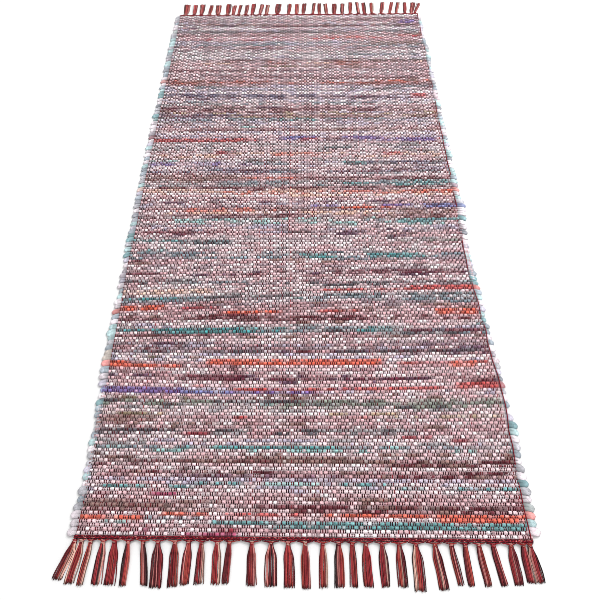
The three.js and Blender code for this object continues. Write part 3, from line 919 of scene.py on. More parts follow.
class StageSettings(bpy.types.PropertyGroup):
    """The floor, the lights and the camera."""

    floor_size: length("Floor size", "Side of the floor", 12000)
    camera_place: FloatVectorProperty(
        name="Camera place", description="Where the camera stands", subtype="TRANSLATION",
        default=(-0.0011, -0.8671, 0.8922), precision=4,
    )
    pitch: angle("Pitch", "How far the camera looks down", 56.32)
    yaw: angle("Yaw", "How far it looks to the right", 0.13)
    roll: angle("Roll", "How far it is rolled to the left", -0.20)
    focal_share: FloatProperty(
        name="Focal length", description="In widths of the image", default=566.1 / 600
    )
    crispness: FloatProperty(
        name="Filter width", description="Of the image, in pixels: narrow is crisp", default=0.8)
    key_power: FloatProperty(name="Key light", description="Of the soft main light", default=80.0)
    sky_power: FloatProperty(name="Sky light", description="Of the white surroundings", default=0.92)


YarnColours = type(
    "YarnColours",
    (bpy.types.PropertyGroup,),
    {
        "__doc__": "The colours of the cut strips and of the warp yarns.",
        "__annotations__": {
            name: colour(name, code) for name, code in {**STRIP_COLOURS, **WARP_COLOURS}.items()
        },
    },
)


class KilimRug(bpy.types.PropertyGroup):
    """All that a user can change about the rug."""

    cloth: PointerProperty(type=ClothSizes, name="Cloth", description="Sizes of the cloth")
    warp: PointerProperty(type=WarpSizes, name="Warps", description="Sizes of the warps")
    weft: PointerProperty(type=WeftSizes, name="Weft", description="Sizes of the weft")
    sides: PointerProperty(type=SideSizes, name="Sides", description="Sizes of the sides")
    headings: PointerProperty(type=HeadingSizes, name="Headings", description="Sizes of the headings")
    fringe: PointerProperty(type=FringeSizes, name="Fringe", description="Sizes of the fringe")
    stage: PointerProperty(type=StageSettings, name="Stage", description="Floor, lights and camera")
    colours: PointerProperty(type=YarnColours, name="Colours", description="Colours of the yarns")


def seeded(series):
    """Random numbers that are the same in every run, one series for each use."""
    return np.random.default_rng(SEEDS[series])


def even_random(index):
    """A number from -1 to 1, always the same for one index, as in the part's solids."""
    mask = 0xFFFFFFFF
    t = (index + 0x6D2B79F5) & mask
    t = ((t ^ t >> 15) * (t | 1)) & mask
    t ^= (t + (((t ^ t >> 7) * (t | 61)) & mask)) & mask
    return 2 * ((t ^ t >> 14) & mask) / 4294967296 - 1


# Where a point of the cloth lies on the floor

def pick_lines(cloth):
    """Where each line between two picks lies, from -1 at the near heading to 1 at the far one."""
    place = np.arange(cloth.picks + 1) / cloth.picks
    along = place - cloth.opening * place * (1 - place)
    stray = seeded("picks").uniform(-1, 1, cloth.picks + 1) * cloth.unevenness / cloth.picks
    stray[[0, -1]] = 0
    return 2 * (along + stray) - 1


def field_half(cloth):
    """Half the length of the cloth between its headings."""
    return cloth.woven_length / 2 - cloth.heading_width - cloth.gap


def pick_bow(cloth, y, across):
    """How far a pick lies from its straight place, apart from the slant of the ends."""
    at = [row["y"] * MM for row in PICK_BOW]
    left, middle, right = (
        np.interp(y, at, [row[side] * MM for row in PICK_BOW]) for side in ("left", "middle", "right")
    )
    t = across / cloth.edge_warp
    return middle + (right - left) / 2 * t + ((right + left) / 2 - middle) * t * t


def middle_line(cloth, y):
    """The x of the rug's middle line."""
    return -cloth.side_bow * np.cos(2 * math.pi * y / cloth.woven_length)


def warp_wander(across, y):
    """How far the warps stray to the right."""
    waves = (
        row["size"] * MM * np.sin(2 * math.pi * (
            row["per_across"] * across + row["per_along"] * y + row["start"]))
        for row in WANDER
    )
    return sum(waves)


def cloth_y(cloth, place, across):
    """The y of a place in the cloth if both ends were square, as the tables of colours have it."""
    place, across = np.broadcast_arrays(place, across)
    straight = np.interp(place, np.arange(cloth.picks + 1), pick_lines(cloth)) * field_half(cloth)
    return straight + pick_bow(cloth, straight, across)


def lay(cloth, place, across, height):
    """Points in the frame, from places counted in picks, places across the rug, and heights."""
    place, across, height = np.broadcast_arrays(place, across, height)
    square = cloth_y(cloth, place, across)
    way = square / cloth.woven_length + 0.5
    tilt = way * ENDS["far"]["tilt"] - (1 - way) * ENDS["near"]["tilt"]
    y = square + tilt * across / cloth.edge_warp
    x = middle_line(cloth, y) + across + warp_wander(across, y)
    return np.stack([x, y, height], -1)


def lay_end(cloth, end, across, outside, height):
    """Points at an end, from places across the rug, distances out from the woven edge and heights."""
    across, outside, height = np.broadcast_arrays(across, outside, height)
    x = middle_line(cloth, cloth.woven_length / 2) + across
    y = end["side"] * (cloth.woven_length / 2 + outside + end["tilt"] * x / cloth.edge_warp)
    return np.stack([x, y, height], -1)


def side_shape(side_name, y, what):
    """How much farther the turned weft stands out, or how far in the edge line lies."""
    at = [row["y"] * MM for row in SIDE_SHAPE]
    return np.interp(y, at, [row[f"{side_name}_{what}"] * MM for row in SIDE_SHAPE])


def is_bare(cloth, pick, across):
    """Whether the turned weft leaves crossings of the cloth bare."""
    y = cloth_y(cloth, pick + 0.5, across)
    right = across < cloth.edge_warp - side_shape("right", y, "line")
    return right & (across > side_shape("left", y, "line") - cloth.edge_warp)


# The colours of the weft

HELD_BEYOND = 14 * MM  # how far beyond the outermost warp the weft's colours are held
STRIP_RUN = (4, 18)  # length of a printed strip, in colour stations
BIT_RUN = (1, 4)  # length of a bit of one colour, in colour stations
FIRST_PRINT = (0.3, 0.7)  # the share of a strip that its first colour takes
PICK_SHADE = 0.05  # how much the picks differ in tone at the near end
FAR_PICK_SHADE = 0.06  # and how much more at the far end
STRIPE_FADE = 8 * MM  # over which a stripe's ends fade
FULL_COVER = 0.85  # how far a dense bit of a stripe hides the ground
THIN_COVER = 0.5  # and how far a thin bit does
WASHED_COLOUR = "dcc6ca"  # that the beads of the calm stretch are washed towards
PALE_FLECK = 0.3  # how much white a pale fleck has
DARK_FLECK = 0.5  # the tone of a dark fleck

# The calm stretch of the cloth, where the beads are more alike: its course along the rug, as shares
CALM_WAYS = [0.35, 0.55, 0.8, 1.0]
CALM_SHARES = [0.0, 1.0, 1.0, 0.0]

# Tones that change along the cloth: their value at the near end, what is added towards the far end
# and what is added in the calm stretch. The rows for the bead rims and the body scale painted shade,
# and the warps row darkens the warp floats towards the far end.
TONES = {row["what"]: row for row in table(["what", "near", "far", "calm"], [
    ["bright", 0.0888, 0.24, -0.10],
    ["narrow_beads", 0.8, -0.25, 0.2],
    ["unlike", 0.16, 0.14, -0.12],
    ["columns_unlike", 0.05, 0.08, 0],
    ["pale_flecks", 0.07, 0, -0.049],
    ["dark_flecks", 0.05, 0, -0.03],
    ["washed", 0, 0, 0.2],
    ["rims", 1, -0.45, 1.4],
    ["warps", 0, -0.8, 0.35],
    ["body", 1, -0.4, 0],
])}


def strip_colours(rug, names):
    """The colours of some strips as an array."""
    return np.array([getattr(rug.colours, name) for name in names])


def colour_stations(cloth):
    """The places across the rug at which the weft's colours are held."""
    reach = cloth.edge_warp + HELD_BEYOND
    return np.arange(-reach, reach + cloth.strip_station, cloth.strip_station)


def paint_picks(rug):
    """The weft's colours: one row for each pick, with a colour at each station across it."""
    cloth = rug.cloth
    stations = colour_stations(cloth)
    picks = np.arange(cloth.picks)
    y = cloth_y(cloth, picks[:, None] + 0.5, stations[None, :])
    chart = np.zeros((cloth.picks, len(stations), 3))
    lay_ground(rug, chart, y)
    lay_stripes(rug, chart, y, stations)
    return chart


def lay_ground(rug, chart, y):
    """Lays the ground: printed strips, each of which shows a darker and a lighter colour in turn."""
    random = seeded("ground")
    until = np.array([row["until"] * MM for row in GROUND])
    palettes = [strip_colours(rug, row["strips"].split()) for row in GROUND]
    palettes = [palette[palette.sum(1).argsort()] for palette in palettes]
    zones = np.minimum(np.searchsorted(until, y), len(palettes) - 1)
    for pick, row in enumerate(chart):
        start = 0
        while start < len(row):
            strip_end = min(start + int(random.integers(*STRIP_RUN)), len(row))
            palette = palettes[zones[pick, (start + strip_end - 1) // 2]]
            half = (len(palette) + 1) // 2
            prints = [palette[random.integers(half)], palette[-1 - random.integers(half)]]
            first_share = random.uniform(*FIRST_PRINT)
            while start < strip_end:
                bit = int(random.integers(*BIT_RUN))
                row[start:start + bit] = prints[int(random.random() > first_share)]
                start += bit
        row *= math.exp(random.normal(0, PICK_SHADE + FAR_PICK_SHADE * pick / len(chart)))


def lay_stripes(rug, chart, y, stations):
    """Lays the strips of strong colour over the ground, in bits that cover it more or less."""
    random = seeded("stripes")
    for row in STRIPES + SOFT_BANDS:
        left, right = row["left"] * MM, row["right"] * MM
        middle = int(np.argmin(np.abs(stations - (left + right) / 2)))
        nearest = np.argsort(np.abs(y[:, middle] - row["y"] * MM))[:row["picks"]]
        inside = np.minimum(stations - left, right - stations) / STRIPE_FADE
        inside = np.clip(inside + 0.5, 0, 1)
        strip = strip_colours(rug, [row["strip"]])[0]
        for pick in nearest:
            bits = np.repeat(random.random(len(stations)), random.integers(*BIT_RUN, len(stations)))
            full = bits[:len(stations)] < row["cover"]
            cover = (inside * np.where(full, FULL_COVER, THIN_COVER * row["cover"]))[:, None]
            chart[pick] = chart[pick] * (1 - cover) + strip * cover


def weft_colour(cloth, chart, pick, across):
    """The weft's colours at picks and places across the rug."""
    stations = colour_stations(cloth)
    column = np.clip(np.searchsorted(stations, across), 0, len(stations) - 1)
    return chart[np.clip(pick, 0, cloth.picks - 1), column]


def tone(cloth, pick, what):
    """One of the tones that change along the cloth, at some picks."""
    row = TONES[what]
    way = pick / cloth.picks
    calm = np.interp(way, CALM_WAYS, CALM_SHARES)
    return row["near"] + row["far"] * way ** 2 + row["calm"] * calm


# Meshes from arrays

TILE_SIDE_GAP = 0.02  # between a form's place on the map and the sides of its tile
TILE_END_GAP = 0.08  # and the ends of its tile
MAP_FOLDS = 4  # columns on the map for a lengthwise strip of the cloth
STEEP = 0.2  # a tube is steep where the level part of its direction is less than this
TINY = 1e-12  # keeps a division from zero
THREAD_SIDES = 5  # faces round a thread


def build_mesh(name, points, faces, colours, strand, places, material):
    """One object of many small forms. Faces are arrays of corner numbers, all of one array with as
    many corners, and places are the map's places of those corners."""
    mesh = bpy.data.meshes.new(name)
    flat = np.asarray(points, np.float32).reshape(-1, 3)
    mesh.vertices.add(len(flat))
    mesh.vertices.foreach_set("co", flat.ravel())
    corners = np.concatenate([f.ravel() for f in faces]).astype(np.int32)
    sizes = np.concatenate([np.full(len(f), f.shape[1]) for f in faces])
    starts = np.concatenate([[0], np.cumsum(sizes)[:-1]]).astype(np.int32)
    mesh.loops.add(len(corners))
    mesh.loops.foreach_set("vertex_index", corners)
    mesh.polygons.add(len(sizes))
    mesh.polygons.foreach_set("loop_start", starts)
    mesh.polygons.foreach_set("use_smooth", np.ones(len(sizes), bool))
    paint = mesh.attributes.new("yarn", "FLOAT_COLOR", "POINT")
    rgba = np.ones((len(flat), 4), np.float32)
    rgba[:, :3] = np.asarray(colours).reshape(-1, 3)
    paint.data.foreach_set("color", rgba.ravel())
    lines = mesh.attributes.new("strand", "FLOAT_VECTOR", "POINT")
    lines.data.foreach_set("vector", np.asarray(strand, np.float32).reshape(-1, 3).ravel())
    layer = mesh.uv_layers.new(name="OFBake")
    flat_places = np.concatenate([np.asarray(p, np.float32).reshape(-1, 2) for p in places])
    layer.data.foreach_set("uv", flat_places.ravel())
    mesh.update(calc_edges=True)
    mesh.validate()
    mesh.materials.append(material)
    piece = bpy.data.objects.new(name, mesh)
    bpy.context.scene.collection.objects.link(piece)
    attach(piece, BODY)
    return piece


def patch_faces(count, rows, columns):
    """The faces of many equal patches, each a grid of points in rows from left to right."""
    grid = np.arange(rows * columns).reshape(rows, columns)
    quads = np.stack([grid[:-1, :-1], grid[:-1, 1:], grid[1:, 1:], grid[1:, :-1]], -1).reshape(-1, 4)
    return (np.arange(count)[:, None, None] * rows * columns + quads).reshape(-1, 4)


def inset(share, gap):
    """A share of a tile's size that keeps a gap at both of its sides."""
    return gap + (1 - 2 * gap) * share


def tile(count, number, along, around, columns=4):
    """A place on the map for each of many like forms, laid out in tiles."""
    rows = math.ceil(count / columns)
    across_tile = (number % columns + inset(along, TILE_SIDE_GAP)) / columns
    up_tile = (number // columns + inset(around, TILE_END_GAP)) / rows
    return np.stack(np.broadcast_arrays(across_tile, up_tile), -1)


def tubes(lines, half_widths, half_heights, sides):
    """Many tubes with equal numbers of stations. Lines are their middles. Each section is an
    ellipse, as wide as given across the tube and as high as given. Returns points, faces, and the
    place of each corner along and around its tube."""
    count, stations = lines.shape[:2]
    tangent = np.gradient(lines, axis=1)
    tangent /= np.linalg.norm(tangent, axis=-1, keepdims=True) + TINY
    upward = np.array([0.0, 0.0, 1.0])
    across = np.cross(tangent, upward)
    steep = np.linalg.norm(across, axis=-1, keepdims=True) < STEEP
    across = np.where(steep, np.cross(tangent, np.array([0.0, 1.0, 0.0])), across)
    across /= np.linalg.norm(across, axis=-1, keepdims=True) + TINY
    over = np.cross(across, tangent)
    turn = -2 * math.pi * np.arange(sides) / sides
    wide = np.broadcast_to(half_widths, (count, stations))[..., None, None]
    high = np.broadcast_to(half_heights, (count, stations))[..., None, None]
    points = (
        lines[:, :, None, :]
        + across[:, :, None, :] * wide * np.cos(turn)[:, None]
        + over[:, :, None, :] * high * np.sin(turn)[:, None]
    )
    spans = stations - 1
    s, k = (a.ravel() for a in np.meshgrid(np.arange(spans), np.arange(sides), indexing="ij"))
    corners = [(s, k), (s, k + 1), (s + 1, k + 1), (s + 1, k)]
    quads = np.stack([a * sides + b % sides for a, b in corners], -1)
    ring = np.arange(sides)
    caps = np.stack([ring[::-1], spans * sides + ring])
    first = np.arange(count)[:, None, None] * stations * sides
    faces = [(first + quads).reshape(-1, 4), (first + caps).reshape(-1, sides)]
    along = [np.stack([a / spans for a, _ in corners], -1), np.stack([0 * ring, 0 * ring + 1])]
    around = [np.stack([b / sides for _, b in corners], -1), np.stack([ring[::-1], ring]) / sides]
    return points, faces, along, around


def strand_lines(lines, sides, width, random):
    """For each point of some tubes: its way along and around its strand, and a number of its own."""
    steps = np.linalg.norm(np.diff(lines, axis=1, prepend=lines[:, :1]), axis=-1)
    along = np.cumsum(steps, 1)[:, :, None]
    around = (math.pi * width * np.arange(sides) / sides)[None, None, :]
    own = random.random(len(lines))[:, None, None]
    return np.stack(np.broadcast_arrays(along, around, own), -1)


def build_tubes(name, lines, made, paint, width, random, material, columns=4):
    """One object of many tubes, painted for each tube or for each of its points."""
    points, faces, along, around = made
    count, _, sides = points.shape[:3]
    colours = np.broadcast_to(np.clip(paint, 0, 1), points.shape)
    strand = strand_lines(lines, sides, width, random)
    number = np.arange(count)[:, None, None]
    places = [tile(count, number, a[None], b[None], columns) for a, b in zip(along, around)]
    return build_mesh(name, points, faces, colours, strand, places, material)


# Finishes

FIBRE_LEAN = 0.55  # how far round its strand a fibre runs, as a share of its way along it
FIBRES_ALONG = 260.0  # changes of the fibres' pattern in a metre along the strand
FIBRES_AROUND = 2100.0  # and in a metre round it
OWN_STEP = 71.0  # between the patterns of two strands
STAINS = 330.0  # stains in a metre
NOISE_LIMITS = (0.3, 0.7)  # between which a noise pattern mostly lies
RELIEF_HEIGHT = 0.35 * MM  # of the raised fibres and twist


def node(tree, kind, inputs=None, **settings):
    """Adds a node, with its settings, and sets or links its inputs."""
    made = tree.nodes.new(kind)
    for name, value in settings.items():
        setattr(made, name, value)
    for socket, value in (inputs or {}).items():
        if isinstance(value, bpy.types.NodeSocket):
            tree.links.new(value, made.inputs[socket])
        else:
            made.inputs[socket].default_value = value
    return made


def maths(tree, operation, *values):
    """Adds a node that calculates, and gives its result."""
    return node(tree, "ShaderNodeMath", dict(enumerate(values)), operation=operation).outputs[0]


def noise(tree, vector, scale):
    """Adds a noise pattern."""
    inputs = {"Vector": vector, "Scale": scale, "Detail": 2.0}
    return node(tree, "ShaderNodeTexNoise", inputs).outputs["Fac"]


def shade(tree, pattern, limits, darkest, lightest):
    """Adds a node that turns a pattern's values between two limits into shades."""
    return node(tree, "ShaderNodeMapRange", {
        "Value": pattern, "From Min": limits[0], "From Max": limits[1],
        "To Min": darkest, "To Max": lightest,
    }).outputs[0]


def yarn_finish(name, lay_length, fibre, twist, mottle, sheen):
    """Cotton: the yarn's own colour with fibres, twist and slight stains, as fine raised lines.

    The fibres run along the strand, lean with its twist, and come from noise that is stretched
    along it."""
    material = bpy.data.materials.new(name)
    material.use_nodes = True
    tree = material.node_tree
    shader = tree.nodes["Principled BSDF"]
    shader.inputs["Roughness"].default_value = 0.93
    shader.inputs["Specular IOR Level"].default_value = 0.25
    shader.inputs["Sheen Weight"].default_value = sheen
    shader.inputs["Sheen Roughness"].default_value = 0.6
    strand = node(tree, "ShaderNodeAttribute", attribute_name="strand").outputs["Vector"]
    parts = node(tree, "ShaderNodeSeparateXYZ", {"Vector": strand})
    along, around, own = (parts.outputs[axis] for axis in "XYZ")
    lean = maths(tree, "MULTIPLY_ADD", along, FIBRE_LEAN, around)
    fine = node(tree, "ShaderNodeCombineXYZ", {
        "X": maths(tree, "MULTIPLY", along, FIBRES_ALONG),
        "Y": maths(tree, "MULTIPLY", lean, FIBRES_AROUND),
        "Z": maths(tree, "MULTIPLY", own, OWN_STEP),
    }).outputs[0]
    fibres = noise(tree, fine, 1.0)
    stains = noise(tree, node(tree, "ShaderNodeTexCoord").outputs["Object"], STAINS)
    turns = maths(tree, "MULTIPLY", lean, 2 * math.pi / lay_length)
    groove = maths(tree, "ABSOLUTE", maths(tree, "SINE", turns))
    fibre_shade = shade(tree, fibres, NOISE_LIMITS, 1 - fibre, 1 + fibre * 0.7)
    stain_shade = shade(tree, stains, NOISE_LIMITS, 1 - mottle, 1 + mottle * 0.8)
    # Painted shade: the twist's grooves are darkened
    groove_shade = shade(tree, groove, (0.0, 0.8), 1 - twist, 1.0)
    shades = maths(tree, "MULTIPLY", fibre_shade, maths(tree, "MULTIPLY", stain_shade, groove_shade))
    yarn = node(tree, "ShaderNodeAttribute", attribute_name="yarn").outputs["Color"]
    tinted = node(tree, "ShaderNodeVectorMath", {0: yarn, "Scale": shades}, operation="SCALE")
    tree.links.new(tinted.outputs[0], shader.inputs["Base Color"])
    relief = maths(tree, "MULTIPLY_ADD", groove, twist * 1.6, fibres)
    bump = node(tree, "ShaderNodeBump", {
        "Height": relief, "Strength": 0.6, "Distance": RELIEF_HEIGHT})
    tree.links.new(bump.outputs[0], shader.inputs["Normal"])
    return material


def plain_finish(name, base, roughness):
    """A plain finish for the stage."""
    material = bpy.data.materials.new(name)
    material.use_nodes = True
    shader = material.node_tree.nodes["Principled BSDF"]
    shader.inputs["Base Color"].default_value = (*base, 1)
    shader.inputs["Roughness"].default_value = roughness
    shader.inputs["Specular IOR Level"].default_value = 0.0
    return material


def strip_finish():
    """The finish of the cut cotton strips, made once."""
    return bpy.data.materials.get("cotton_strips") or yarn_finish(
        "cotton_strips", 5.2 * MM, fibre=0.16, twist=0.10, mottle=0.32, sheen=0.2)


def turned_finish():
    """The finish of the turned strips, made once, which are rolled tight and less stained."""
    return bpy.data.materials.get("turned_strips") or yarn_finish(
        "turned_strips", 5.2 * MM, fibre=0.14, twist=0.16, mottle=0.10, sheen=0.2)


def warp_finish():
    """The finish of the warp yarns, made once."""
    return bpy.data.materials.get("warp_threads") or yarn_finish(
        "warp_threads", 1.9 * MM, fibre=0.22, twist=0.28, mottle=0.08, sheen=0.0)


# The cloth

FACE_COLUMNS = 53  # points across the face of the cloth's body
BACK_COLUMNS = 9  # and across its back
FACE_ON_MAP = (0.01, 0.73)
BACK_ON_MAP = (0.76, 0.99)
CREST_SHADE = 0.95  # painted shade of the body on a pick, under the beads and floats
VALLEY_SHADE = 0.55  # and the deeper painted shade between two picks
BODY_STRAND = 0.37  # the number that the body has in place of a strand's own

# The points of a bead of weft and of a float of warp, as shares of their half width and length. Those
# at 1 and -1 are the rim, which is sunk into the cloth.
WIDE_BEAD_COLUMNS = np.array([-1, -0.64, 0.64, 1])
NARROW_BEAD_COLUMNS = np.array([-1, 0, 1])
BEAD_ROWS = np.array([-1, -0.58, 0.58, 1])
FLOAT_COLUMNS = np.array([-1, 0, 1])
FLOAT_ROWS = np.array([-1, -0.42, 0.42, 1])
END_NARROWING = 0.10  # share by which a bead is narrower at its ends
SIDE_SHORTENING = 0.16  # and shorter at its sides
WIDE_BEAD_SUNK = 0.35 * MM  # how far a bead's crown lies under the top of the cloth
NARROW_BEAD_SUNK = 0.7 * MM
SIDE_RIM_SHADE = 0.16  # painted shade of a bead's rim next to the warps
END_RIM_SHADE = 0.62  # and its painted shade next to the picks before and after
# the lightest that a rim's painted shade may be
LIGHTEST_RIM_SHADE = 0.9
FLOAT_SUNK = 2.4 * MM  # how deep a float's ends dive
# Darkening of the warp floats: partly the threads' own dark colour and partly painted shade of the
# slits they lie in, deepest at a thread's sides
FLOAT_SIDE_SHADE = 0.3
FLOAT_CREST_SHADE = 0.5

# How uneven the beads and floats are: shares of their size, lengths, and picks in "along"
BEAD_SPREAD = {
    "width": 0.1, "crown": 0.3 * MM, "slant": 0.6 * MM, "side_tilt": 0.15 * MM,
    "end_tilt": 0.2 * MM, "across": 0.4 * MM, "reach": 0.1, "along": 0.06,
}
FLOAT_SPREAD = {"crown": 0.25 * MM, "width": 0.12, "across": 0.15 * MM, "slant": 0.15 * MM}


def warp_groups(warp):
    """The warp groups across the rug: their places, and whether each is wide."""
    unit = (np.arange(warp.units) - (warp.units - 1) / 2) * warp.unit
    offsets = np.array([-warp.wide_offset, 0, warp.wide_offset])
    across = (unit[:, None] + offsets).ravel()
    wide = np.tile([True, False, True], warp.units)
    return across, wide


def crossings(rug, weft_over):
    """The crossings where the weft lies over the warps, or under them: pick and group numbers."""
    across, _ = warp_groups(rug.warp)
    pick, group = np.meshgrid(np.arange(rug.cloth.picks), np.arange(len(across)), indexing="ij")
    chosen = ((pick + group) % 2 == 0) == weft_over
    return pick[chosen], group[chosen]


def folded_map(cloth, low, high, pick, rise, across):
    """Map places for small forms in a lengthwise strip of the cloth, folded into columns."""
    tall = math.ceil(cloth.picks / MAP_FOLDS)
    column = pick // tall
    u = (column + inset((across - low) / (high - low), TILE_SIDE_GAP)) / MAP_FOLDS
    v = (pick - column * tall + 0.5 + rise * 0.96) / tall
    return np.stack(np.broadcast_arrays(u, v), -1)


def weave_sheet(rug):
    """The body of the cloth: a ribbed sheet that carries the weft's colours on both faces."""
    cloth = rug.cloth
    chart = paint_picks(rug)
    stations = np.arange(2 * cloth.picks + 1) / 2
    crest = (np.arange(len(stations)) % 2).astype(float)
    face = np.linspace(-cloth.edge_warp, cloth.edge_warp, FACE_COLUMNS)
    back = np.linspace(cloth.edge_warp, -cloth.edge_warp, BACK_COLUMNS)
    across = np.concatenate([face, back])
    is_face = np.arange(len(across)) < FACE_COLUMNS
    top = cloth.rib_valley + crest * (cloth.rib_crest - cloth.rib_valley)
    under = cloth.under_valley * (1 - crest)
    height = np.where(is_face[None, :], top[:, None], under[:, None])
    points = lay(cloth, stations[:, None], across[None, :], height)
    pick = np.clip(stations.astype(int), 0, cloth.picks - 1)
    paint = weft_colour(cloth, chart, pick[:, None], across[None, :])
    # Painted shade: the body is darkened where the weft and warps above shade it, most between two
    # picks, and more towards the far end
    tones = np.where(crest > 0, CREST_SHADE, VALLEY_SHADE) * tone(cloth, pick, "body")
    paint = paint * tones[:, None, None]
    loops, per = points.shape[:2]
    s, k = (a.ravel() for a in np.meshgrid(np.arange(loops - 1), np.arange(per), indexing="ij"))
    corners = [(s, k), (s + 1, k), (s + 1, k + 1), (s, k + 1)]
    quads = np.stack([a * per + b % per for a, b in corners], -1)
    ring = np.arange(per)
    ends = np.stack([ring, (loops - 1) * per + ring[::-1]])
    girth = np.concatenate([
        np.linspace(*FACE_ON_MAP, FACE_COLUMNS), np.linspace(*BACK_ON_MAP, BACK_COLUMNS), [1.0]])
    quad_places = np.stack([np.stack([girth[b], a / loops], -1) for a, b in corners], 1)
    end_places = np.stack([
        np.stack([girth[:-1], np.zeros(per)], -1), np.stack([girth[:-1][::-1], np.ones(per)], -1)])
    strand = np.concatenate([points[..., :2], np.full_like(points[..., :1], BODY_STRAND)], -1)
    return build_mesh("cloth_body", points, [quads, ends], paint, strand,
                      [quad_places, end_places], strip_finish())


def spread(random, count, size):
    """A random number up to a size either way for each of some small forms."""
    return random.uniform(-size, size, count)[:, None, None]


def shown_beads(rug, low, high, wide_beads):
    """The beads that show between two places across the rug: their picks, groups and places."""
    across, wide = warp_groups(rug.warp)
    pick, group = crossings(rug, weft_over=True)
    middle = across[group]
    chosen = (wide[group] == wide_beads) & (middle >= low) & (middle < high)
    chosen &= is_bare(rug.cloth, pick, middle)
    return pick[chosen], group[chosen], middle[chosen]


def bead_paint(rug, chart, pick, group, middle, random):
    """The colour of each bead: its strip's own, with uneven tones and flecks."""
    cloth = rug.cloth
    across, wide = warp_groups(rug.warp)
    own = random.normal(0, 1, len(pick)) * tone(cloth, pick, "unlike")
    flecks = random.random(len(pick))
    column = seeded("warps").normal(0, 1, len(across))[group] * tone(cloth, pick, "columns_unlike")
    bright = np.exp(own + column + tone(cloth, pick, "bright"))
    bright *= np.where(wide[group], 1, tone(cloth, pick, "narrow_beads"))
    paint = weft_colour(cloth, chart, pick, middle) * bright[:, None]
    is_pale = flecks < tone(cloth, pick, "pale_flecks")
    is_dark = flecks > 1 - tone(cloth, pick, "dark_flecks")
    paint = np.where(is_pale[:, None], paint * (1 - PALE_FLECK) + PALE_FLECK, paint)
    paint = np.where(is_dark[:, None], paint * DARK_FLECK, paint)
    washed = tone(cloth, pick, "washed")[:, None]
    return paint + (np.array(linear(WASHED_COLOUR)) - paint) * washed


def weft_beads(rug, chart, low, high, wide_beads, random):
    """The beads of weft over the wide or the single warps between two places across the rug."""
    cloth, weft = rug.cloth, rug.weft
    pick, group, middle = shown_beads(rug, low, high, wide_beads)
    count = len(pick)
    u = (WIDE_BEAD_COLUMNS if wide_beads else NARROW_BEAD_COLUMNS)[None, None, :]
    v = BEAD_ROWS[None, :, None]
    is_side, is_end = np.abs(u) == 1, np.abs(v) == 1
    is_rim = is_side | is_end
    half = (weft.wide_bead if wide_beads else weft.narrow_bead) / 2
    half = half * (1 + spread(random, count, BEAD_SPREAD["width"]))
    sunk = WIDE_BEAD_SUNK if wide_beads else NARROW_BEAD_SUNK
    crown = CLOTH_TOP - sunk + spread(random, count, BEAD_SPREAD["crown"])
    slant = spread(random, count, BEAD_SPREAD["slant"])
    tilt = spread(random, count, BEAD_SPREAD["side_tilt"]) * u
    tilt = tilt + spread(random, count, BEAD_SPREAD["end_tilt"]) * v
    height = np.where(is_rim, weft.bead_foot, crown + tilt)
    stray = spread(random, count, BEAD_SPREAD["across"])
    x = middle[:, None, None] + u * half * (1 - END_NARROWING * v * v) + slant * v + stray
    uneven = 1 + spread(random, count, BEAD_SPREAD["reach"])
    reach = weft.bead_reach * (1 - SIDE_SHORTENING * u * u) * uneven
    place = pick[:, None, None] + 0.5 + v * reach + spread(random, count, BEAD_SPREAD["along"])
    points = lay(cloth, place, x, height)
    paint = bead_paint(rug, chart, pick, group, middle, random)
    # Painted shade: a bead is darkened at its rims, most at its sides next to the warps
    rim = np.where(is_side, SIDE_RIM_SHADE, END_RIM_SHADE)
    rim = np.minimum(rim * tone(cloth, pick, "rims")[:, None, None], LIGHTEST_RIM_SHADE)
    tones = np.where(is_rim, rim, 1.0)
    colours = np.clip(paint[:, None, None, :] * tones[..., None], 0, 1)
    colours = np.broadcast_to(colours, points.shape)
    strand = np.stack(np.broadcast_arrays(
        x, v * reach * 6 * MM, random.random(count)[:, None, None]), -1)
    places = folded_map(cloth, low - 4 * MM, high + 4 * MM, pick[:, None, None], v * reach, x)
    return points, colours, strand, places


def join_patches(name, groups, material):
    """One object of patches in several groups, each of patches with equal grids."""
    faces, places, first = [], [], 0
    for points, _, _, place in groups:
        count, rows, columns = points.shape[:3]
        quads = patch_faces(count, rows, columns)
        faces.append(quads + first)
        places.append(place.reshape(-1, 2)[quads])
        first += count * rows * columns
    flat = [np.concatenate([g[i].reshape(-1, 3) for g in groups]) for i in range(3)]
    return build_mesh(name, flat[0], faces, flat[1], flat[2], places, material)


def strips_across(cloth, number):
    """The bounds of some lengthwise strips of the cloth."""
    bounds = np.linspace(-cloth.edge_warp, cloth.edge_warp, number + 1)
    return list(zip(bounds[:-1], bounds[1:]))


def thread_colour(rug, count, random):
    """A colour for each of some warp threads."""
    letters = list(WARPS_IN_CLOTH)
    names = [WARP_LETTERS[letter] for letter in random.choice(letters, count)]
    return strip_colours(rug, names) * np.exp(random.normal(0, 0.2, count))[:, None]


def warp_threads(rug):
    """The warp threads across the rug: the group of each, its place and its colour."""
    warp = rug.warp
    across, wide = warp_groups(warp)
    random = seeded("warps")
    half_gap = warp.thread_gap / 2
    group = np.repeat(np.arange(len(across)), np.where(wide, 2, 1))
    offset = np.concatenate([[-half_gap, half_gap] if is_wide else [0.0] for is_wide in wide])
    place = across[group] + offset + random.uniform(-0.2, 0.2, len(group)) * MM
    return group, place, thread_colour(rug, len(group), seeded("warps"))


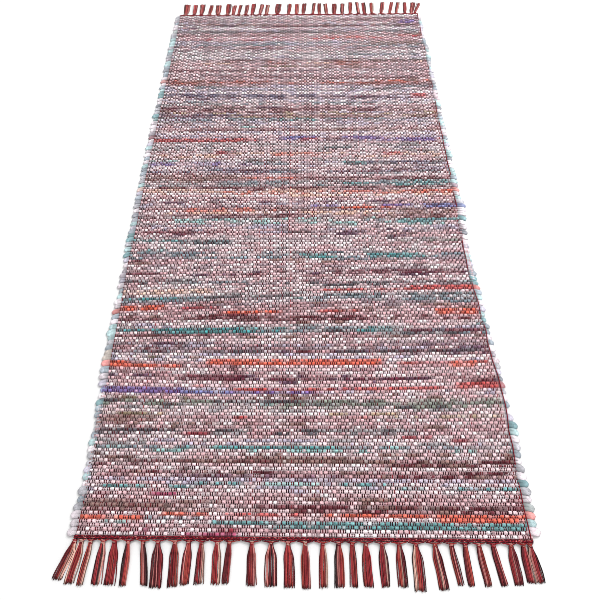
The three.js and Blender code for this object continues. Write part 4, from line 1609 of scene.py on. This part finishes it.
def warp_floats(rug, low, high, random):
    """The warp threads' floats over the weft between two places across the rug."""
    cloth, warp = rug.cloth, rug.warp
    across, _ = warp_groups(warp)
    group, thread_across, thread_paint = warp_threads(rug)
    near = (across[group] >= low) & (across[group] < high)
    pick, thread = np.meshgrid(np.arange(cloth.picks), np.arange(len(group)), indexing="ij")
    chosen = ((pick + group[thread]) % 2 == 1) & near[thread]
    chosen &= is_bare(cloth, pick, across[group[thread]])
    pick, thread = pick[chosen], thread[chosen]
    count = len(pick)
    v = FLOAT_ROWS[None, :, None]
    u = FLOAT_COLUMNS[None, None, :]
    is_end, is_side = np.abs(v) == 1, np.abs(u) == 1
    crown = warp.float_height + spread(random, count, FLOAT_SPREAD["crown"])
    sunk = np.where(is_end, FLOAT_SUNK, 0)
    drop = np.where(is_side, 0.6 * warp.thread_width, 0)
    half = warp.thread_width / 2 * (1 + spread(random, count, FLOAT_SPREAD["width"]))
    stray = spread(random, count, FLOAT_SPREAD["across"])
    stray = stray + v * spread(random, count, FLOAT_SPREAD["slant"])
    x = thread_across[thread][:, None, None] + u * half + stray
    place = pick[:, None, None] + 0.5 + v * warp.float_reach
    points = lay(cloth, place, x, crown - sunk - drop)
    paint = thread_paint[thread] * np.exp(random.normal(0, 0.25, count))[:, None]
    # The floats grow darker towards the far end, and are darkened partly for the threads' own dark
    # colour and partly as painted shade of the slits, most at their sides
    paint = paint * np.exp(tone(cloth, pick, "warps"))[:, None]
    tones = np.where(is_side, FLOAT_SIDE_SHADE, FLOAT_CREST_SHADE)[..., None]
    colours = np.broadcast_to(paint[:, None, None, :] * tones, points.shape)
    strand = np.stack(np.broadcast_arrays(
        points[..., 1], u * half * 1.5, (thread / len(group))[:, None, None]), -1)
    tall = math.ceil(cloth.picks / MAP_FOLDS)
    column = (pick // tall)[:, None, None]
    first, last = np.flatnonzero(near)[[0, -1]]
    slot = (thread[:, None, None] - first + 0.5 + 0.42 * u) / (last - first + 1)
    up = (pick[:, None, None] - column * tall + 0.5 + v * 0.46) / tall
    places = np.stack(np.broadcast_arrays((column + slot) / MAP_FOLDS, up), -1)
    return points, colours, strand, places


# The sides

LOOP_WIDTHS = np.array([0.85, 1, 1.1, 1.25, 1.35, 1.25, 1.1, 1, 0.85])  # along a turn
LOOP_END_SHADE = np.array([0.5, 0.8, 1, 1, 1, 1, 1, 0.8, 0.5])  # painted shade along a turn, darkest where it dives into the cloth
LOOP_SIDES = 8  # faces round a turned strip
LOOP_SHORTEST = 2.4  # millimetres by which a turn may fall short
LOOP_LEAN = 0.22  # how much the lean of the turns varies, in picks
LOOP_BULGE = 0.46  # half the length of a turn along the rug, in picks
LOOP_RISE = 1.9 * MM  # how far a turn rises to where it enters the cloth
FADED_COLOUR = "dfe3ee"
NEAR_TURN = 7 * MM  # a turn has the colour of a row of the table that is nearer than this
MARK_PICKS = 4  # picks between the places where an edge warp changes its course
EDGE_STRAY = 0.7 * MM  # how far an edge warp strays
EDGE_DIP = 1.4 * MM  # how deep it dives between two turns


def turn_colours(rug, side_name, y, random):
    """The colours of the turned weft at one side."""
    turns = SIDES[side_name]["turns"]
    at = np.array([row["y"] * MM for row in turns])
    names = [row["strip"] for row in turns]
    pale = PALE_TURNS[side_name].split()
    chosen = []
    for place in y:
        nearest = int(np.argmin(np.abs(at - place)))
        is_near = abs(at[nearest] - place) < NEAR_TURN
        chosen.append(names[nearest] if is_near else pale[random.integers(len(pale))])
    return strip_colours(rug, chosen)


def loop_lines(rug, side_name, random):
    """The middles of the weft's turns at one side, and the y of each."""
    cloth, sides, side = rug.cloth, rug.sides, SIDES[side_name]
    turn = np.linspace(-0.5, 0.5, len(LOOP_WIDTHS)) * math.pi
    number = np.arange((cloth.picks - side["first_pick"]) // 2)
    first = side["first_pick"] + 2 * number
    uneven = np.array([even_random(side["series"] + int(n)) for n in number])
    y = cloth_y(cloth, first + 1, side["side"] * cloth.edge_warp)
    more = side_shape(side_name, y, "reach") - random.uniform(0, LOOP_SHORTEST, len(number)) * MM
    reach = sides.reach * (1 + sides.unevenness * uneven) + more - sides.loop_width / 2
    tuck = side_shape(side_name, y, "line") + side["behind"]
    out = reach[:, None] * np.cos(turn) ** 0.25 - tuck[:, None] * (1 - np.cos(turn))
    across = side["side"] * (cloth.edge_warp + out)
    slant = sides.loop_slant + random.uniform(-LOOP_LEAN, LOOP_LEAN, (len(number), 1))
    bulge = LOOP_BULGE * np.sign(turn) * np.abs(np.sin(turn)) ** 0.7
    place = first[:, None] + 1 + bulge - slant * np.cos(turn)
    height = sides.loop_height / 2 + 0.3 * MM + LOOP_RISE * (1 - np.cos(turn))
    return lay(cloth, place, across, height), y


def side_loops(rug):
    """The weft's turns at both sides, one for every two picks."""
    sides = rug.sides
    random = seeded("turns")
    lines, paints = [], []
    for side_name in SIDES:
        side_lines, y = loop_lines(rug, side_name, random)
        lines.append(side_lines)
        paints.append(turn_colours(rug, side_name, y, random))
    lines, paints = np.concatenate(lines), np.concatenate(paints)
    size = np.exp(random.normal(0, 0.13, (len(lines), 1)))
    wide = sides.loop_width / 2 * LOOP_WIDTHS * size
    made = tubes(lines, wide, sides.loop_height / 2, LOOP_SIDES)
    paint = paints + (np.array(linear(FADED_COLOUR)) - paints) * sides.fading
    # Each turn differs at random in tone, random darkening along it stands for the shade of its
    # creases, and its ends get painted shade where they dive into the cloth
    tone_and_crease_shade = random.normal(0, 0.12, lines.shape[:2]) + random.normal(0, 0.13, (len(lines), 1))
    tone_and_crease_shade = (np.exp(tone_and_crease_shade) * LOOP_END_SHADE)[..., None, None]
    # Painted shade at the turn's sides, where it meets the turns beside it
    seam_shade = 0.62 + 0.38 * np.abs(np.sin(2 * math.pi * np.arange(LOOP_SIDES) / LOOP_SIDES))
    paint = paint[:, None, None, :] * tone_and_crease_shade * seam_shade[None, None, :, None]
    return build_tubes(
        "turned_sides", lines, made, paint, sides.loop_width, random, turned_finish(), columns=8)


def edge_strands(rug):
    """Two warps along each side, which bind the turned weft."""
    cloth, sides = rug.cloth, rug.sides
    random = seeded("webs")
    place = np.arange(0, cloth.picks + 0.1, 1 / 3)
    marks = np.arange(0, cloth.picks + MARK_PICKS, MARK_PICKS)
    lines = []
    for side_name, side in SIDES.items():
        y = cloth_y(cloth, place, side["side"] * cloth.edge_warp)
        stray = np.interp(place, marks, random.normal(0, EDGE_STRAY, len(marks)))
        line = cloth.edge_warp - side_shape(side_name, y, "line") + stray
        is_dipped = random.random(len(marks)) < 0.15 + 0.5 * marks / cloth.picks
        dip = np.interp(place, marks, np.where(is_dipped, EDGE_DIP, 0))
        for start in (-0.5, 0.5):
            rise = -side["side"] * np.sin(math.pi * place)
            across = side["side"] * line + sides.strand_width * start
            height = CLOTH_TOP - sides.strand_width * (0.9 - 0.3 * rise) - side["sunk"] - dip
            lines.append(lay(cloth, place, across, height))
    lines = np.stack(lines)
    made = tubes(lines, sides.strand_width / 2, sides.strand_width / 2, THREAD_SIDES)
    paint = strip_colours(rug, ["warp_soot", "warp_maroon", "warp_maroon", "warp_crimson"])
    return build_tubes("edge_warps", lines, made, paint[:, None, None, :], sides.strand_width,
                       seeded("warps"), warp_finish(), columns=1)


# The headings

HEADING_ROWS = ((-0.74, -1), (-0.28, 1))  # place in the heading's width, and which way the row twists
HEADING_FLECKS = 0.12  # the share of pale flecks
CORE_SIDES = 10  # faces round the core


def heading_rows(rug, end_name):
    """A heading: two twined rows of two strands each, tight against the last pick."""
    cloth, sizes, end = rug.cloth, rug.headings, ENDS[end_name]
    random = seeded("headings")
    across = np.arange(-cloth.edge_warp, cloth.edge_warp, sizes.turn / 6)
    swing = 0.62 * sizes.strand_width
    lines = []
    for place, twist in HEADING_ROWS:
        for start in (0, 0.5):
            turn = 2 * math.pi * (across / sizes.turn * twist + start)
            out = place * cloth.heading_width + 0.55 * swing * np.cos(turn)
            height = HEADING_TOP - 1.9 * sizes.strand_width + swing + swing * np.sin(turn)
            lines.append(lay_end(cloth, end, across, out, height))
    lines = np.stack(lines)
    half = sizes.strand_width / 2 * 1.15
    made = tubes(lines, half, half, THREAD_SIDES)
    names = ["warp_maroon", "warp_crimson", "warp_maroon", "warp_crimson"]
    is_fleck = random.random(lines.shape[:2])[..., None, None] < HEADING_FLECKS
    fleck = strip_colours(rug, ["warp_shell"])[0]
    paint = np.where(is_fleck, fleck, strip_colours(rug, names)[:, None, None, :])
    patches = np.exp(random.normal(0, 0.3, lines.shape[:2]))[..., None, None]
    return build_tubes(f"heading_{end_name}_rows", lines, made, paint * patches, sizes.strand_width,
                       random, warp_finish(), columns=1)


def heading_core(rug, end_name):
    """The packed yarn inside a heading, a low rounded bar."""
    cloth, end = rug.cloth, ENDS[end_name]
    half_wide, half_high = cloth.heading_width * 0.55, HEADING_TOP * 0.42
    across = np.linspace(-cloth.edge_warp, cloth.edge_warp, 60)
    middle = lay_end(cloth, end, across, -half_wide, half_high)[None]
    made = tubes(middle, half_wide, half_high, CORE_SIDES)
    paint = strip_colours(rug, ["warp_soot"])[0]
    return build_tubes(f"heading_{end_name}_core", middle, made, paint, cloth.heading_width,
                       seeded("headings"), warp_finish(), columns=1)


# The fringe

THREAD_STEPS = np.linspace(0, 1, 12)  # the way along a loose thread
TASSEL_ROOT = 2.6 * MM  # half the width of a tassel where it leaves its knot
THREAD_WAVE = 0.45 * MM
THREAD_STRAY = 2.6 * MM  # how far an outermost thread may stray
THREAD_LIFT = 1.5 * MM  # of the threads where they leave the knot
LAYER_SHADES = (0.6, 1.0)  # painted shade of the lower threads of a tassel, which lie under the upper ones, and the upper threads' full tone
OUTERMOST_TONE = 0.6
FIRST_WRAP = 2.4 * MM  # from the woven edge to the first turn round a knot
WRAP_PITCH = 1.75 * MM


def smooth(t):
    """A soft step from 0 to 1."""
    t = np.clip(t, 0, 1)
    return t * t * (3 - 2 * t)


def thread_line(rug, end, tassel, number, count, random):
    """The middle of one thread of a tassel, and its yarn's colour name."""
    cloth, sizes = rug.cloth, rug.fringe
    half = sizes.thread_width / 2
    s = THREAD_STEPS
    fan = tassel["spread"] * MM / 2 - half - TASSEL_ROOT
    side = -1 + 2 * (number + random.uniform(-0.15, 0.15)) / (count - 1)
    layer = number % 2
    drift = random.uniform(-0.12, 0.12) * np.sin(math.pi * s)
    width = TASSEL_ROOT + fan * smooth(s / 0.34)
    wave = THREAD_WAVE * np.sin(2 * math.pi * (s * random.uniform(0.6, 1.5) + random.random()))
    root = cloth.gap + sizes.knot_length * 0.55
    own = tassel["reach"] * MM - root - sizes.tip_unevenness * random.random()
    lean = smooth(s * 0.9 + 0.05) * 0.5 + s * 0.5
    middle = (tassel["knot"] + (tassel["tips"] - tassel["knot"]) * lean) * MM
    is_outermost = number in (0, count - 1)
    stray = THREAD_STRAY * random.random() ** 3 * np.sign(side) * is_outermost * smooth(s)
    across = middle + (side + drift) * width + wave * s + stray
    lift = THREAD_LIFT * (1 - smooth(s / 0.35)) * (0.5 + layer)
    stack = layer * (1.35 - 0.4 * s) * half
    height = half * 1.12 + stack * random.uniform(0.8, 1.25) + lift
    yarn = (side + 1) / 2 * len(tassel["yarns"]) + random.uniform(-0.9, 0.9)
    letter = tassel["yarns"][int(np.clip(yarn, 0, len(tassel["yarns"]) - 1))]
    return lay_end(cloth, end, across, root + s * own, height), WARP_LETTERS[letter]


def tassel_threads(rug, end_name):
    """The loose warp threads of one end's tassels."""
    sizes, end = rug.fringe, ENDS[end_name]
    random = seeded(end_name)
    lines, names, shades = [], [], []
    for tassel in end["tassels"]:
        count = round(tassel["spread"] * MM / sizes.thread_pitch) + 1
        for number in range(count):
            line, name = thread_line(rug, end, tassel, number, count, random)
            lines.append(line)
            names.append(name)
            is_outermost = number in (0, count - 1)
            # Painted shade on the lower threads, under the upper ones
            layer_shade = LAYER_SHADES[number % 2]
            shades.append(layer_shade * (OUTERMOST_TONE if is_outermost else 1.0))
    lines = np.stack(lines)
    count = len(lines)
    width = sizes.thread_width / 2 * random.uniform(0.85, 1.1, (count, 1))
    width = width * np.ones((count, len(THREAD_STEPS)))
    width[:, -1] *= 0.75
    made = tubes(lines, width, width, THREAD_SIDES)
    paint = strip_colours(rug, names)
    paint = paint + (strip_colours(rug, ["warp_flax"]) - paint) * end["bleaching"]
    paint = paint * (shades * np.exp(random.normal(0, 0.22, count)))[:, None]
    # The threads are darker at their tips, and get painted shade at their roots where they leave the
    # knot
    is_tip, is_root = THREAD_STEPS > 0.96, THREAD_STEPS < 0.05
    fade = np.where(is_tip, 0.45, 1.0) * (1 - 0.25 * is_root)
    paint = paint[:, None, None, :] * fade[None, :, None, None]
    return build_tubes(f"tassels_{end_name}", lines, made, paint, sizes.thread_width, random,
                       warp_finish())


def gathered_threads(rug, end_name):
    """The warps that run along the heading into each knot."""
    cloth, sizes, end = rug.cloth, rug.fringe, ENDS[end_name]
    random = seeded("webs")
    s = np.linspace(0, 1, 6)
    knots = np.array([row["knot"] * MM for row in end["tassels"]])
    bounds = np.concatenate([[-cloth.edge_warp], (knots[1:] + knots[:-1]) / 2, [cloth.edge_warp]])
    lines = []
    for number, knot in enumerate(knots):
        for side, bound in ((-1, bounds[number]), (1, bounds[number + 1])):
            for thread in range(sizes.gathered):
                t = (thread + 0.7) / sizes.gathered
                start = knot + (bound - knot) * t + random.uniform(-0.4, 0.4) * MM
                goal = knot + side * (0.6 + 0.5 * thread) * MM
                across = start + (goal - start) * s
                out_by, up_by = (4.6, 3.0) if thread == 0 else (2.6, 1.6)
                outside = (0.7 + out_by * s ** 1.5 + random.uniform(-0.2, 0.3)) * MM
                height = (2.4 + up_by * s + 0.5 * thread / sizes.gathered) * MM
                lines.append(lay_end(cloth, end, across, outside, height))
    lines = np.stack(lines)
    half = sizes.thread_width * 0.42
    made = tubes(lines, half, half, 4)
    letters = random.choice(list("ccbbpmmm"), len(lines))
    letters[::sizes.gathered] = random.choice(list("eeep"), len(knots) * 2)
    paint = strip_colours(rug, [WARP_LETTERS[letter] for letter in letters])[:, None, None, :]
    return build_tubes(f"gathered_{end_name}", lines, made, paint, sizes.thread_width, random,
                       warp_finish())


def knot_wraps(rug, end_name):
    """The turns of yarn round each knot."""
    cloth, sizes, end = rug.cloth, rug.fringe, ENDS[end_name]
    random = seeded("webs")
    turn = np.linspace(0, 2 * math.pi, 12, endpoint=False)
    half = sizes.wrap_width / 2
    inner = sizes.knot_width / 2 - half
    high = (KNOT_TOP - sizes.wrap_width) / 2
    lines = []
    for tassel in end["tassels"]:
        for wrap in range(sizes.wraps):
            slant = random.uniform(0.5, 1.1) * MM * (-1) ** wrap
            out = FIRST_WRAP + wrap * WRAP_PITCH + slant * np.cos(turn)
            across = tassel["knot"] * MM + inner * (1 - 0.08 * wrap) * np.cos(turn)
            height = half + high + high * np.sin(turn)
            lines.append(lay_end(cloth, end, across, out, height))
    lines = np.stack(lines)
    made = ring_tubes(lines, half, THREAD_SIDES, end["side"])
    letters = random.choice(list("ccbpem"), len(lines))
    paint = strip_colours(rug, [WARP_LETTERS[letter] for letter in letters])[:, None, None, :]
    return build_tubes(f"knots_{end_name}", lines, made, paint, sizes.wrap_width, random,
                       warp_finish())


def ring_tubes(lines, half, sides, outward):
    """Closed tubes that go round the run of a tassel."""
    count, stations = lines.shape[:2]
    middle = lines.mean(1, keepdims=True)
    radial = lines - middle
    radial[..., 1] = 0
    radial /= np.linalg.norm(radial, axis=-1, keepdims=True)
    sideways = np.array([0.0, float(outward), 0.0])
    turn = 2 * math.pi * np.arange(sides) / sides
    points = (
        lines[:, :, None, :]
        + radial[:, :, None, :] * half * np.cos(turn)[:, None]
        + sideways * half * np.sin(turn)[:, None]
    )
    s, k = (a.ravel() for a in np.meshgrid(np.arange(stations), np.arange(sides), indexing="ij"))
    corners = [(s, k), (s, k + 1), (s + 1, k + 1), (s + 1, k)]
    if outward < 0:
        corners = corners[::-1]
    quads = np.stack([(a % stations) * sides + b % sides for a, b in corners], -1)
    faces = [(np.arange(count)[:, None, None] * stations * sides + quads).reshape(-1, 4)]
    along = [np.stack([a / stations for a, _ in corners], -1)]
    around = [np.stack([b / sides for _, b in corners], -1)]
    return points, faces, along, around


# Operators, one for each piece or group of like pieces

class RUG_OT_stage(bpy.types.Operator):
    """Sets up the pale floor, the soft light and the camera"""

    bl_idname = "rug.set_stage"
    bl_label = "Set Stage"

    def execute(self, context):
        stage = context.scene.kilim_rug.stage
        scene = context.scene
        scene.view_settings.view_transform = "Standard"
        scene.cycles.filter_width = stage.crispness
        floor_mesh = bpy.data.meshes.new("floor")
        half = stage.floor_size / 2
        corners = [(-half, -half, 0), (half, -half, 0), (half, half, 0), (-half, half, 0)]
        floor_mesh.from_pydata(corners, [], [(0, 1, 2, 3)])
        floor_mesh.materials.append(plain_finish("pale_floor", (0.8, 0.8, 0.8), 1.0))
        floor = bpy.data.objects.new("floor", floor_mesh)
        scene.collection.objects.link(floor)
        world = bpy.data.worlds.new("white_room")
        world.use_nodes = True
        background = world.node_tree.nodes["Background"]
        background.inputs["Color"].default_value = (1, 1, 1, 1)
        background.inputs["Strength"].default_value = stage.sky_power
        scene.world = world
        self.add_light(scene, "key_light", (1.6, 1.3, 2.4), 1.6, stage.key_power)
        self.add_camera(scene, stage)
        return {"FINISHED"}

    @staticmethod
    def add_light(scene, name, place, size, power):
        """Adds a square soft light that faces the rug."""
        light = bpy.data.lights.new(name, "AREA")
        light.size = size
        light.energy = power
        lamp = bpy.data.objects.new(name, light)
        lamp.location = place
        lamp.rotation_mode = "QUATERNION"
        lamp.rotation_quaternion = (-Vector(place)).to_track_quat("-Z", "Y")
        scene.collection.objects.link(lamp)

    @staticmethod
    def add_camera(scene, stage):
        """Adds the camera where the photograph's stood."""
        camera_data = bpy.data.cameras.new("camera")
        camera_data.sensor_width = 36
        camera_data.lens = 36 * stage.focal_share
        camera = bpy.data.objects.new("camera", camera_data)
        level = math.cos(stage.pitch)
        forward = Vector((math.sin(stage.yaw) * level, math.cos(stage.yaw) * level,
                          -math.sin(stage.pitch)))
        right = Vector((math.cos(stage.yaw), -math.sin(stage.yaw), 0))
        up = right.cross(forward)
        rolled_right = math.cos(stage.roll) * right + math.sin(stage.roll) * up
        rolled_up = math.cos(stage.roll) * up - math.sin(stage.roll) * right
        turned = Matrix((rolled_right, rolled_up, -forward)).transposed().to_4x4()
        camera.matrix_world = Matrix.Translation(stage.camera_place) @ turned
        scene.collection.objects.link(camera)
        scene.camera = camera


class RUG_OT_cloth(bpy.types.Operator):
    """Weaves the ribbed body of the cloth"""

    bl_idname = "rug.weave_cloth"
    bl_label = "Weave Cloth"

    def execute(self, context):
        body = weave_sheet(context.scene.kilim_rug)
        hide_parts("woven_field")
        return {"FINISHED"}


class RUG_OT_weft(bpy.types.Operator):
    """Beats in the weft: a bead at each crossing where it shows"""

    bl_idname = "rug.beat_weft"
    bl_label = "Beat Weft"

    def execute(self, context):
        rug = context.scene.kilim_rug
        chart = paint_picks(rug)
        random = seeded("beads")
        for number, (low, high) in enumerate(strips_across(rug.cloth, 4), 1):
            groups = [weft_beads(rug, chart, low, high, wide, random) for wide in (True, False)]
            beads = join_patches(f"weft_{number}", groups, strip_finish())
        return {"FINISHED"}


class RUG_OT_warps(bpy.types.Operator):
    """Raises the warps: a float of each thread over every other pick"""

    bl_idname = "rug.raise_warps"
    bl_label = "Raise Warps"

    def execute(self, context):
        rug = context.scene.kilim_rug
        random = seeded("beads")
        for number, (low, high) in enumerate(strips_across(rug.cloth, 4), 1):
            groups = [warp_floats(rug, low, high, random)]
            floats = join_patches(f"warps_{number}", groups, warp_finish())
        return {"FINISHED"}


class RUG_OT_sides(bpy.types.Operator):
    """Turns the weft at both sides and binds it with twisted edge warps"""

    bl_idname = "rug.turn_sides"
    bl_label = "Turn Sides"

    def execute(self, context):
        rug = context.scene.kilim_rug
        side_loops(rug)
        edge_strands(rug)
        return {"FINISHED"}


class RUG_OT_headings(bpy.types.Operator):
    """Twines the heading at each end"""

    bl_idname = "rug.twine_headings"
    bl_label = "Twine Headings"

    def execute(self, context):
        rug = context.scene.kilim_rug
        for end_name in ENDS:
            rows = heading_rows(rug, end_name)
            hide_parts(f"heading_{end_name}")
            for piece in (rows, heading_core(rug, end_name)):
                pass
        return {"FINISHED"}


class RUG_OT_fringes(bpy.types.Operator):
    """Gathers, knots and lays out the warp ends as tassels"""

    bl_idname = "rug.knot_fringes"
    bl_label = "Knot Fringes"

    def execute(self, context):
        rug = context.scene.kilim_rug
        for end_name in ENDS:
            threads = tassel_threads(rug, end_name)
            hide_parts(f"fringe_{end_name}")
            for piece in (threads, gathered_threads(rug, end_name), knot_wraps(rug, end_name)):
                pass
        return {"FINISHED"}


class RUG_OT_declare(bpy.types.Operator):
    """Says what cloth the rug is and which pieces go with it"""

    bl_idname = "rug.declare_cloth"
    bl_label = "Declare Cloth"

    def execute(self, context):
        return {"FINISHED"}


class RUG_PT_panel(bpy.types.Panel):
    """The rug's sizes and its operators"""

    bl_idname = "RUG_PT_panel"
    bl_label = "Kilim Rug"
    bl_space_type = "VIEW_3D"
    bl_region_type = "UI"
    bl_category = "Kilim Rug"

    def draw(self, context):
        rug = context.scene.kilim_rug
        for operator in OPERATORS:
            self.layout.operator(operator.bl_idname)
        for group in KilimRug.__annotations__:
            box = self.layout.box()
            box.label(text=group.capitalize())
            settings = getattr(rug, group)
            for name in settings.__annotations__:
                box.prop(settings, name)


OPERATORS = [
    RUG_OT_stage,
    RUG_OT_cloth,
    RUG_OT_weft,
    RUG_OT_warps,
    RUG_OT_sides,
    RUG_OT_headings,
    RUG_OT_fringes,
    RUG_OT_declare,
]
GROUPS = [
    ClothSizes, WarpSizes, WeftSizes, SideSizes, HeadingSizes, FringeSizes, StageSettings,
    YarnColours, KilimRug,
]


def register():
    """Registers the rug's settings, operators and panel."""
    for cls in [*GROUPS, *OPERATORS, RUG_PT_panel]:
        bpy.utils.register_class(cls)
    bpy.types.Scene.kilim_rug = PointerProperty(
        type=KilimRug, name="Kilim rug", description="Settings of the rug")


def unregister():
    """Removes what register() added."""
    del bpy.types.Scene.kilim_rug
    for cls in reversed([*GROUPS, *OPERATORS, RUG_PT_panel]):
        bpy.utils.unregister_class(cls)


def main():
    """Builds the rug, and keeps the boxes of the packed model and of the visual one."""
    register()
    bpy.ops.rug.set_stage()
    bpy.ops.rug.weave_cloth()
    bpy.ops.rug.beat_weft()
    bpy.ops.rug.raise_warps()
    bpy.ops.rug.turn_sides()
    bpy.ops.rug.twine_headings()
    bpy.ops.rug.knot_fringes()
    bpy.ops.rug.declare_cloth()


if __name__ == "__main__":
    main()
